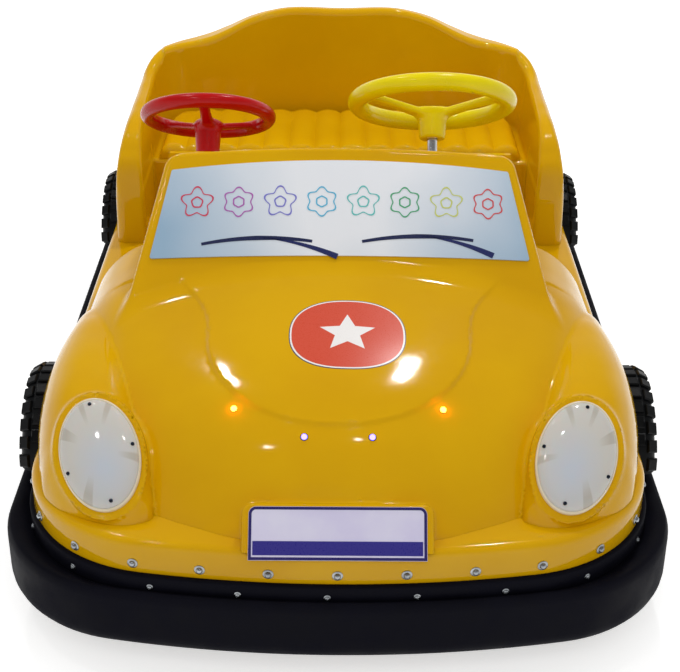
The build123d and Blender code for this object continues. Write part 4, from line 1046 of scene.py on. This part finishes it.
# ---------------------------------------------------------------- headlights
# An oval opal acrylic dome, vacuum formed, held on its boss by a moulded cream rim and four small
# dark screws.  The lamp's facets show faintly through it.
def opal_acrylic():
    """Opal acrylic: milky white, cooler low in the middle, with faint dark wedges near its edge."""
    material, tree = new_material("opal_acrylic")
    place = add(tree, "ShaderNodeTexCoord").outputs["UV"]
    spread = add(tree, "ShaderNodeVectorMath", {0: place, 1: (0.5, 0.5, 0.0)}, operation="SUBTRACT")
    parts = add(tree, "ShaderNodeSeparateXYZ", {0: spread.outputs[0]})
    radius = add(tree, "ShaderNodeVectorMath", {0: spread.outputs[0]}, operation="LENGTH")
    angle = add(tree, "ShaderNodeMath", {0: parts.outputs["Y"], 1: parts.outputs["X"]}, operation="ARCTAN2")
    turned = add(tree, "ShaderNodeCombineXYZ", {0: angle.outputs[0], 1: 0.0, 2: 0.0})
    wedge = add(tree, "ShaderNodeTexNoise", {"Vector": turned.outputs[0], "Scale": 2.6, "Detail": 0.0})
    dark = add(tree, "ShaderNodeMapRange", {"Value": wedge.outputs[0], "From Min": 0.57, "From Max": 0.61})
    outer = add(tree, "ShaderNodeMapRange", {"Value": radius.outputs["Value"], "From Min": 0.24,
                                             "From Max": 0.40})
    shown = add(tree, "ShaderNodeMath", {0: dark.outputs[0], 1: outer.outputs[0]}, operation="MULTIPLY")
    shown = add(tree, "ShaderNodeMath", {0: shown.outputs[0], 1: 0.45}, operation="MULTIPLY")
    low = add(tree, "ShaderNodeVectorMath", {0: place, 1: (0.46, 0.34, 0.0)}, operation="DISTANCE")
    cool = add(tree, "ShaderNodeMapRange", {"Value": low.outputs["Value"], "From Min": 0.05, "From Max": 0.42,
                                            "To Min": 0.8, "To Max": 0.0})
    milky = add(tree, "ShaderNodeMix", {0: cool.outputs[0], 6: srgb("CFCBC4"), 7: srgb("C2C9D6")},
                data_type="RGBA")
    colour = add(tree, "ShaderNodeMix", {0: shown.outputs[0], 6: milky.outputs[2], 7: srgb("A59A86")},
                 data_type="RGBA")
    shader = add(tree, "ShaderNodeBsdfPrincipled", {
        "Base Color": colour.outputs[2], "Roughness": 0.06, "IOR": 1.49, "Subsurface Weight": 0.15,
        "Subsurface Scale": 0.004})
    add(tree, "ShaderNodeOutputMaterial", {"Surface": shader.outputs[0]})
    return material


opal = opal_acrylic()
# cream abs: warm, smooth, a little dull at the edge
cream_abs = surface("cream_abs", ("EBDFC6", "E2D4B6"), 30, (0.20, 0.34), 1.5, 0.02)
# blackened steel: dark, a little blue
dark_screw = surface("blackened_screw", ("3A4252", "2A303C"), 6, (0.30, 0.45), 0.8, 0.01, Metallic=1.0)
# share of the lamp's half axes, height: the dome rises from an upright edge, the rim is a ring
LAMP_DOME, DOME_SHARE, DOME_FOOT, LAMP_SIDES = 0.018, 0.955, 0.005, 96
dome_rows = [(DOME_SHARE, DOME_FOOT - 0.0005)]
dome_rows += [(DOME_SHARE * math.cos(a), DOME_FOOT + LAMP_DOME * math.sin(a))
              for a in np.radians((4, 12, 22, 33, 45, 57, 68, 78, 86, 89.9))]
RIM_ROWS = ((0.930, 0.0), (1.0, 0.0), (1.0, 0.0030), (0.992, 0.0052), (0.975, 0.0064), (0.958, 0.0062),
            (0.948, 0.0052), (0.930, 0.0040))
# screw: radius, height; they stand on the dome's slope, turned from its x axis in degrees
TINY_SCREW = ((0.0001, -0.003), (0.0030, -0.003), (0.0032, 0.0002), (0.0026, 0.0012), (0.0001, 0.0015))
SCREW_TURNS, SCREW_SHARE, SCREW_UP = (94, 346, 182, 268), 0.86, 0.0138
for side, name in ((1, "left"), (-1, "right")):
    flip = Matrix.Diagonal((side, 1, 1, 1))
    place = flip @ LAMP_PLACE
    dome = closed_object(f"headlight_dome_{name}", *spun(dome_rows, LAMP_SIDES, LAMP_HALF, place), opal, 50)
    uv = dome.data.uv_layers.new(name="lamp")
    flat = inside_place(place, *np.array([v.co for v in dome.data.vertices]).T)
    corner = np.array([loop.vertex_index for loop in dome.data.loops])
    uv.data.foreach_set("uv", np.column_stack([0.5 + flat[n][corner] / (2 * LAMP_HALF[n])
                                               for n in (0, 1)]).ravel())
    rim = closed_object(f"headlight_rim_{name}",
                        *spun(RIM_ROWS, LAMP_SIDES, LAMP_HALF, place, hollow=True), cream_abs, 50)
    spots = [LAMP_PLACE @ Vector((SCREW_SHARE * LAMP_HALF[0] * math.cos(a),
                                  SCREW_SHARE * LAMP_HALF[1] * math.sin(a), SCREW_UP))
             for a in np.radians(SCREW_TURNS)]
    stood = [flip @ frame_of(spot, LAMP_FACING, (1, 0, 0)) for spot in spots]
    screws = closed_object(f"headlight_screws_{name}",
                           *gathered(spun(TINY_SCREW, 12, place=spot) for spot in stood), dark_screw)
    for piece in (dome, rim, screws):
        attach(piece, "car")
    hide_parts(f"headlight_{name}")


# ---------------------------------------------------------------- plate
# A thin aluminium plate, white enamelled and left blank, with a navy keyline and a navy band
# below; it is bonded on the raised pad of the nose.
PLATE_HALF, PLATE_THICK, PLATE_CORNER = (0.140, 0.042), 0.003, 0.012
PLATE_EDGE = (0.0004, 0.0006)                  # its front edge is broken: in, and down
PAD_GAP, INK_GAP = 0.0003, 0.0001
KEYLINE = (0.0006, 0.0050)                     # how far in it begins and ends
BAND_HALF, BAND_TOP, BAND_FOOT = 0.1330, -0.0120, -0.0340


def plate_outline(inset):
    """The plate's outline, drawn in: square below and with round corners above."""
    half, tall, corner = PLATE_HALF[0] - inset, PLATE_HALF[1] - inset, PLATE_CORNER - inset
    turn = np.linspace(0, math.pi / 2, 9)
    right = [(half - corner + corner * math.sin(a), tall - corner + corner * math.cos(a)) for a in turn]
    return np.array([(-x, y) for x, y in right[::-1]] + right + [(half, -tall), (-half, -tall)])


# enamel: hard, glossy, slightly wavy
enamel = surface("white_enamel", ("D9D3F0", "E0DCF2"), 60, (0.10, 0.22), 3.0, 0.01)
PLATE_FACE = PAD_GAP + PLATE_THICK
rows = [at_height(plate_outline(inset), z) for inset, z in
        ((0.0, PAD_GAP), (0.0, PLATE_FACE - PLATE_EDGE[1]), (PLATE_EDGE[0], PLATE_FACE))]
verts, faces = skin(rows)
count = len(rows[0])
faces += [tuple(range(count)), tuple(range(2 * count, 3 * count))]
plate = closed_object("blank_plate", [PLATE_PLACE @ Vector(v) for v in verts], faces, enamel)
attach(plate, "car")
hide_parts("licence_plate")
ON_PLATE = PLATE_PLACE @ Matrix.Translation((0, 0, PLATE_FACE + INK_GAP))
navy_band = np.array([(-BAND_HALF, BAND_TOP), (BAND_HALF, BAND_TOP), (BAND_HALF, BAND_FOOT),
                      (-BAND_HALF, BAND_FOOT)])
keyline = [plate_outline(inset) for inset in KEYLINE]
plate_print = inked("plate_print", [(*keyline, "241A66"), (navy_band, None, "2C2488")], ON_PLATE)


# ---------------------------------------------------------------- dashboard
# A second glass fibre moulding closes the back of the windscreen and carries the two column
# bushes.  A soft rubber collar is pushed down each column on to its bush.
finish_nodes(gelcoat, "dashboard")
COLUMN_LEAN = math.radians(34)
UP_COLUMN = (0, math.sin(COLUMN_LEAN), math.cos(COLUMN_LEAN))
DRIVER_AT, TOY_AT = (0.185975, 0.036, 0.689), (-0.2666, 0.013, 0.665)     # middles of the wheels
SHELF_Z, BUSH_HALF = 0.554, 0.025
# radius, height
COLLAR = ((0.0106, -0.002), (0.0205, -0.002), (0.0205, 0.0015), (0.0170, 0.0035), (0.0160, 0.0070),
          (0.0140, 0.0080), (0.0135, 0.0095), (0.0120, 0.0100), (0.0106, 0.0100))


def column_place(at, down=0.0):
    """A place on the column under a wheel's middle, its z axis up the column."""
    return frame_of(Vector(at) - down * Vector(UP_COLUMN), UP_COLUMN, (1, 0, 0))


# soft rubber: dull, dark, with a dry bloom
soft_rubber = surface("soft_rubber", ("161618", "202023"), 15, (0.55, 0.75), 1.2, 0.08)
to_bushes = [(at, (at[2] - SHELF_Z) / UP_COLUMN[2] - BUSH_HALF) for at in (DRIVER_AT, TOY_AT)]
boots = closed_object("column_boots", *gathered(
    spun(COLLAR, 32, place=column_place(at, down), hollow=True) for at, down in to_bushes), soft_rubber)
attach(boots, "car")


# ---------------------------------------------------------------- steering wheels
# One piece moulded wheels: a round rim, flat sloping spokes and a deep tapered hub on the column.
# The driver's is yellow and steers; the passenger's is red, smaller and only turns.
BORE_R, HUB_TAPER, HUB_EDGE, SPOKE_FILLET, RIM_FILLET = 0.0103, 0.86, 0.005, 0.010, 0.009
RIM_DROP = 0.008                               # the rim lies this far below the wheel's middle
HUB_RISE, SPOKE_HALF, SPOKE_EDGE = 0.70, 0.42, 0.38        # shares of the rim's tube
SPOKE_ROOT, SPOKE_FALL, SPOKE_WAIST = 0.6, 1.3, 0.30       # of the hub's radius; power; of the width


def wheel_field(rim_r, tube, hub_r, spoke_width, spoke_angles, dish, hub_depth, bore_top):
    """Distance to a wheel about the z axis: a rim, spokes that fall to the hub, and a bore below."""
    top, foot = -dish + tube * HUB_RISE, -dish - hub_depth

    def field(x, y, z):
        z = z + RIM_DROP
        far = np.hypot(x, y)
        body = np.hypot(far - rim_r, z) - tube
        taper = np.interp(z, (foot, -dish), (HUB_TAPER * hub_r, hub_r))
        hub = meet(far - taper, np.abs(z - (top + foot) / 2) - (top - foot) / 2, HUB_EDGE)
        for angle in spoke_angles:
            c, s = math.cos(math.radians(angle)), math.sin(math.radians(angle))
            out, across = x * c + y * s, np.abs(y * c - x * s)
            share = np.clip((out - SPOKE_ROOT * hub_r) / (rim_r - SPOKE_ROOT * hub_r), 0, 1)
            middle = -dish * (1 - share) ** SPOKE_FALL
            half = spoke_width / 2 * (1.0 - SPOKE_WAIST * np.sin(share * math.pi))
            spoke = meet(across - half, np.abs(z - middle) - tube * SPOKE_HALF, tube * SPOKE_EDGE)
            spoke = np.maximum(spoke, np.abs(out - rim_r / 2) - rim_r / 2)
            hub = join(hub, spoke, SPOKE_FILLET)
        body = join(body, hub, RIM_FILLET)
        bore = meet(far - BORE_R, z - RIM_DROP - bore_top, 0.0005)
        return meet(body, -bore, 0.0008)
    return field


# abs, gloss moulded and a little worn by hands: strong even colour, soft highlights
yellow_abs = surface("yellow_abs", ("F0DC00", "E8D200"), 90, (0.16, 0.30), 3.0, 0.02,
                     **{"Specular IOR Level": 0.25})
red_abs = surface("red_abs", ("BE0606", "B00404"), 90, (0.16, 0.30), 3.0, 0.02,
                  **{"Specular IOR Level": 0.25})
# name, middle, material, CAD node, body, slot; rim radius, its tube, hub radius, spoke width,
# spokes' angles, dish, hub depth, top of the bore
WHEELS = (
    ("driver_steering_wheel", DRIVER_AT, yellow_abs, "driver_wheel", "driver_steering", "wheel_yellow",
     (0.153, 0.0178, 0.030, 0.036, (-20, -160, 90), 0.026, 0.050, -0.0395)),
    ("passenger_steering_wheel", TOY_AT, red_abs, "passenger_wheel", "passenger_steering", "wheel_red",
     (0.122, 0.0145, 0.027, 0.030, (-90, 40, 140), 0.020, 0.060, -0.0295)),
)
WHEEL_LOW, WHEEL_HIGH, WHEEL_CELL = -0.096, 0.016, 0.0035
for name, at, material, node, body, finish, sizes in WHEELS:
    reach = sizes[0] + sizes[1] + 0.004
    wheel = moulding(name, wheel_field(*sizes), (-reach, -reach, WHEEL_LOW), (reach, reach, WHEEL_HIGH),
                     WHEEL_CELL, material, place=column_place(at))
    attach(wheel, body)
    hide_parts(node)


# ---------------------------------------------------------------- dummy wheels
# Black moulded half wheels screwed to the sides: they stand for the road wheels and carry
# nothing.  Each has a dished face, a rolled shoulder and a coarse block tread.
DUMMY_R, DUMMY_OUTER, DUMMY_Z = 0.151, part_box("dummy_wheel_front_left")[1][0] + 0.006, 0.190
# end, y, inner face
DUMMIES = (("front", ARCH_Y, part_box("dummy_wheel_front_left")[0][0]),
           ("rear", 0.490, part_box("dummy_wheel_rear_left")[0][0]))
SHOULDER, CORE = 0.020, 0.0001
# from the shoulder over the dished face to the hub: in from the tread, in from the outer face
DISH_ROWS = ((0.036, 0.001), (0.040, 0.006), (0.042, 0.012), (0.048, 0.014), (0.074, 0.016),
             (0.080, 0.013), (0.086, 0.008), (0.094, 0.006), (0.118, 0.003))
# rows of blocks: in from the outer face, in from the tread, reach each way from the top in radians,
# length, height; the first leans out over the shoulder, and the last is for a wide wheel only
TREAD_DEEP, TREAD_PITCH, BLOCK_WIDTH, SHOULDER_LEAN, WIDE_WHEEL = 0.0045, 0.0270, 0.0225, 0.55, 0.07
TREAD_ROWS = ((0.0095, 0.0055, 1.24, 0.020, 0.0065), (0.034, 0.0, 0.93, 0.027, TREAD_DEEP),
              (0.067, 0.0, 0.88, 0.030, TREAD_DEEP))
DECK_CUT = 0.2206                              # nothing of them hangs below the ring's flange
# abs sheet, black: satin with a fine grain, greyer where it has been brushed past
dummy_black = surface("grained_black_abs", ("08090B", "0D0F11"), 45, (0.34, 0.52), 1.8, 0.09,
                      **{"Specular IOR Level": 0.15})


def chamfered_block(length, width, height):
    """A tread block: its foot sinks in the tyre and its top is chamfered."""
    rows = ((0.5, 0.5, -0.004), (0.5, 0.5, height - 0.002), (0.40, 0.44, height))
    corners = ((1, 1), (-1, 1), (-1, -1), (1, -1))
    loops = [np.array([(sx * a * width, sy * b * length, z) for sx, sy in corners]) for a, b, z in rows]
    verts, faces = skin(loops)
    return closed_object("block", verts, faces + [(0, 1, 2, 3), (8, 9, 10, 11)], dummy_black)


def arc(x, y, radius, reach):
    """Points and outward aims on an upright arc over a wheel's middle."""
    angle = np.linspace(-reach, reach, 61)
    aims = np.column_stack([np.full(61, 0.0), np.sin(angle), np.cos(angle)])
    return aims * radius + (x, y, DUMMY_Z), aims


def cutter(low, high):
    """A box to cut with."""
    verts = [(x, y, z) for x in (low[0], high[0]) for y in (low[1], high[1]) for z in (low[2], high[2])]
    return closed_object("cutter", verts, [(0, 1, 3, 2), (4, 6, 7, 5), (0, 4, 5, 1), (2, 3, 7, 6),
                                           (0, 2, 6, 4), (1, 5, 7, 3)], dummy_black)


def cut_away(obj, tools):
    """Take solids away from a piece and keep the result as its plain mesh; the tools are used up."""
    for tool in tools:
        modifier = obj.modifiers.new("cut", "BOOLEAN")
        modifier.operation, modifier.solver, modifier.object = "DIFFERENCE", "EXACT", tool
    graph = bpy.context.evaluated_depsgraph_get()
    mesh = bpy.data.meshes.new_from_object(obj.evaluated_get(graph), depsgraph=graph)
    obj.modifiers.clear()
    obj.data = mesh
    mesh.shade_smooth()
    mesh.set_sharp_from_angle(angle=math.radians(35))
    for tool in tools:
        bpy.data.objects.remove(tool)


skirt_face = SKIRT["half"] + SEAT_GAP
for end, y, inner in DUMMIES:
    width = DUMMY_OUTER - inner
    r = DUMMY_R - TREAD_DEEP
    profile = [(CORE, 0.0), (r - 0.004, 0.0), (r, 0.004)]
    profile += [(r - come, width - to_go) for to_go, come in bend(SHOULDER, range(0, 91, 15))]
    profile += [(r - down, width - back) for down, back in DISH_ROWS] + [(CORE, width - 0.002)]
    for side, name in ((1, "left"), (-1, "right")):
        place = Matrix.Diagonal((side, 1, 1, 1)) @ frame_of((inner, y, DUMMY_Z), (1, 0, 0), (0, 0, 1))
        wheel = closed_object(f"dummy_wheel_{end}_{name}", *spun(profile, 120, place=place), dummy_black)
        cut_away(wheel, [
            cutter((-0.7, y - 0.3, -0.1), (0.7, y + 0.3, DECK_CUT)),
            cutter((-skirt_face, y - 0.31, -0.11), (skirt_face, y + 0.31, LEDGE_TOP + SEAT_GAP))])
        blocks = []
        for n, (back, down, reach, length, height) in enumerate(TREAD_ROWS[:3 if width > WIDE_WHEEL else 2]):
            points, aims = arc(side * (DUMMY_OUTER - back), y, r - down, reach)
            if n == 0:
                aims = aims + (side * SHOULDER_LEAN, 0, 0)
            blocks.append(copies_along(
                f"tread_{end}_{name}_{n + 1}", chamfered_block(length, BLOCK_WIDTH, height), points, aims,
                int(2 * reach * (r - down) / TREAD_PITCH), dummy_black, closed=False))
        for piece in (wheel, *blocks):
            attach(piece, "car")
        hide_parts(f"dummy_wheel_{end}_{name}")


# ---------------------------------------------------------------- seat
# Two wings, a low back with a raised middle and the tail below are one double skinned glass
# fibre moulding in the same gelcoat, set down on the ledge.
# outside and inside of the shell, millimetres: height, half width, rear, corner radius
SHELL_OUT = ((280, 507, 905, 215), (420, 502, 868, 200), (500, 492, 832, 195), (560, 477, 800, 190),
             (620, 464, 773, 182), (700, 457, 738, 172))
SHELL_IN = ((412, 438, 700, 110), (560, 450, 704, 108), (720, 437, 708, 116))
SEAT_FRONT, SEAT_DECK, DECK_FRONT = 0.225, 0.412, 0.404
# the edge's height, millimetres: along the wings from the front, and along the back from its middle
WING_RIM = ((200, 380), (225, 400), (238, 446), (270, 492), (330, 528), (420, 543), (540, 552), (620, 566),
            (665, 590), (700, 602), (800, 604))
BACK_RIM = ((0, 687), (155, 684), (222, 664), (282, 634), (322, 617), (357, 608), (405, 603), (520, 600))
RIM_ROLL, SEAT_WALL = 0.013, 0.005
LEG_HALF, LEG_TOP, LEG_ROUND = 0.438, 0.442, 0.008      # space for the riders' legs between the wings
# the wings' height holds outside this half width, and fades out within it
WING_HALF, WING_FADE = 0.440, 0.060


def shell_plan(x, y, z, table, front):
    """Plan of the seat at height z: straight sides, round rear corners."""
    half, rear, corner = between(table, z)
    x = np.abs(x)
    u, v = x - (half - corner), y - (rear - corner)
    plan = np.where((u > 0) & (v > 0), np.hypot(u, v) - corner, np.maximum(x - half, y - rear))
    return meet(plan, front - y, 0.02)


def seat_field(x, y, z):
    """The whole moulding: the shell less its cavity and leg space, cut off along its wavy edge."""
    outside = shell_plan(x, y, z, SHELL_OUT, SEAT_FRONT)
    inside = shell_plan(x, y, z, SHELL_IN, SEAT_FRONT - 0.2)
    cavity = meet(inside, SEAT_DECK - z, 0.010)
    body = meet(outside, -cavity, RIM_ROLL)
    legs = np.maximum(np.maximum(np.abs(x) - LEG_HALF, y - DECK_FRONT), z - LEG_TOP)
    body = meet(body, -legs, LEG_ROUND)
    wing, back = between(WING_RIM, y)[0], between(BACK_RIM, np.abs(x))[0]
    wing = wing + 0.2 * ease((WING_HALF - np.abs(x)) / WING_FADE)
    return meet(body, np.maximum(z - wing, z - back) * 0.8, RIM_ROLL)


SEAT_LOW, SEAT_HIGH, SEAT_CELL = (-0.56, 0.19, 0.262), (0.56, 0.94, 0.71), 0.006
seat = moulding("seat", seat_field, SEAT_LOW, SEAT_HIGH, SEAT_CELL, gelcoat,
                cuts=(((0, 0, LEDGE_TOP + SEAT_GAP), (0, 0, -1)),), wall=SEAT_WALL)
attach(seat, "car")
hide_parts("seat_body")


# ---------------------------------------------------------------- bench
# A separate glass fibre seat top, pleated in the mould to look upholstered: fourteen shallow
# rolls that run from front to back and round over its front edge.
bench_low, bench_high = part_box("bench_seat")
PLEATS, PLEAT_RISE, BENCH_CORNER, BENCH_EDGE = 14, 0.009, 0.102, 0.014
BENCH_HALF = bench_high[0] - 0.001
BENCH_FLAT = bench_high[2] - PLEAT_RISE
FULLNESS = 0.7                                 # power of the wave: below 1 a roll is fuller
# shares of a roll's height: at the edge, gained over EASE_IN from it, and pushed out over the front
EDGE_SHARE, EASE_IN, FRONT_SHARE = 0.35, 0.02, 0.35
FLAT_EDGE = 0.002                              # the sides and the back stay flat this close to the edge


def pleats_tree():
    """Node tree: lifts the attribute "soft" of a sheet into equal rolls across it."""
    tree = bpy.data.node_groups.new("pleats", "GeometryNodeTree")
    for name, kind in (("Sheet", "Geometry"), ("Pitch", "Float"), ("Rise", "Float"), ("Finish", "Material")):
        tree.interface.new_socket(name, in_out="INPUT", socket_type="NodeSocket" + kind)
    tree.interface.new_socket("Pleated", in_out="OUTPUT", socket_type="NodeSocketGeometry")
    given = add(tree, "NodeGroupInput").outputs
    parts = add(tree, "ShaderNodeSeparateXYZ", {0: add(tree, "GeometryNodeInputPosition").outputs[0]})
    turns = add(tree, "ShaderNodeMath", {0: parts.outputs["X"], 1: given["Pitch"]}, operation="DIVIDE")
    angle = add(tree, "ShaderNodeMath", {0: turns.outputs[0], 1: math.pi}, operation="MULTIPLY")
    wave = add(tree, "ShaderNodeMath", {0: angle.outputs[0]}, operation="SINE")
    roll = add(tree, "ShaderNodeMath", {0: wave.outputs[0]}, operation="ABSOLUTE")
    roll = add(tree, "ShaderNodeMath", {0: roll.outputs[0], 1: FULLNESS}, operation="POWER")
    soft = add(tree, "GeometryNodeInputNamedAttribute", {"Name": "soft"}, data_type="FLOAT_VECTOR")
    lift = add(tree, "ShaderNodeMath", {0: roll.outputs[0], 1: given["Rise"]}, operation="MULTIPLY")
    offset = add(tree, "ShaderNodeVectorMath", {0: soft.outputs[0], "Scale": lift.outputs[0]},
                 operation="SCALE")
    moved = add(tree, "GeometryNodeSetPosition", {"Geometry": given["Sheet"], "Offset": offset.outputs[0]})
    real = add(tree, "GeometryNodeRealizeInstances", {0: moved.outputs[0]})
    done = add(tree, "GeometryNodeSetMaterial", {"Geometry": real.outputs[0], "Material": given["Finish"]})
    add(tree, "NodeGroupOutput", {0: done.outputs[0]})
    return tree


def bench_sheet():
    """Top, edges and underside of the bench before it is pleated.

    The attribute "soft" holds how far and which way the pleats lift each point.
    """
    length = bench_high[1] - bench_low[1]
    rows = np.concatenate([(0, 0.0012, 0.0035, 0.007, 0.0105, 0.014, 0.022), np.linspace(0.035, 0.245, 12),
                           (0.255, 0.264, 0.270, 0.2745, 0.277, length)])
    columns = PLEATS * 8
    verts, soft = [], []
    for on_top in (True, False):
        for along in rows:
            y = bench_low[1] + along
            behind = max(0.0, along - (length - BENCH_CORNER))
            half = BENCH_HALF - BENCH_CORNER + math.sqrt(max(BENCH_CORNER ** 2 - behind ** 2, 0))
            for n in range(columns + 1):
                x = -half + 2 * half * n / columns
                closed_edge = min(half - abs(x), length - along)       # sides and back, not the front
                edge = min(along, closed_edge)
                down = BENCH_EDGE - math.sqrt(max(BENCH_EDGE ** 2 - max(BENCH_EDGE - edge, 0) ** 2, 0))
                verts.append((x, y, BENCH_FLAT - down if on_top else bench_low[2]))
                forward = -FRONT_SHARE * (1 - min(along / BENCH_EDGE, 1))
                pleated = on_top and closed_edge > FLAT_EDGE
                soft.append((0, forward, min(1, EDGE_SHARE + edge / EASE_IN)) if pleated else (0, 0, 0))
    wide, count = columns + 1, len(rows) * (columns + 1)
    faces = []
    for level in (0, count):
        for row in range(len(rows) - 1):
            for n in range(columns):
                a = level + row * wide + n
                faces.append((a, a + 1, a + 1 + wide, a + wide))
    last = len(rows) - 1
    rim = [*range(wide), *(row * wide + columns for row in range(1, len(rows)))]
    rim += [last * wide + n for n in reversed(range(columns))]
    rim += [row * wide for row in reversed(range(1, last))]
    faces += [(a, b, b + count, a + count) for a, b in zip(rim, rim[1:] + rim[:1])]
    sheet = closed_object("bench_blank", verts, faces, gelcoat)
    soft_at = {tuple(round(c, 6) for c in v): s for v, s in zip(verts, soft)}
    lift = sheet.data.attributes.new("soft", "FLOAT_VECTOR", "POINT")
    lift.data.foreach_set("vector", np.array([soft_at.get(tuple(round(c, 6) for c in v.co), (0, 0, 0))
                                              for v in sheet.data.vertices], dtype=float).ravel())
    return sheet


bench = bake("bench", bench_sheet(), pleats_tree(),
             {"Pitch": 2 * BENCH_HALF / PLEATS, "Rise": PLEAT_RISE, "Finish": gelcoat})
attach(bench, "car")
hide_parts("bench_seat")
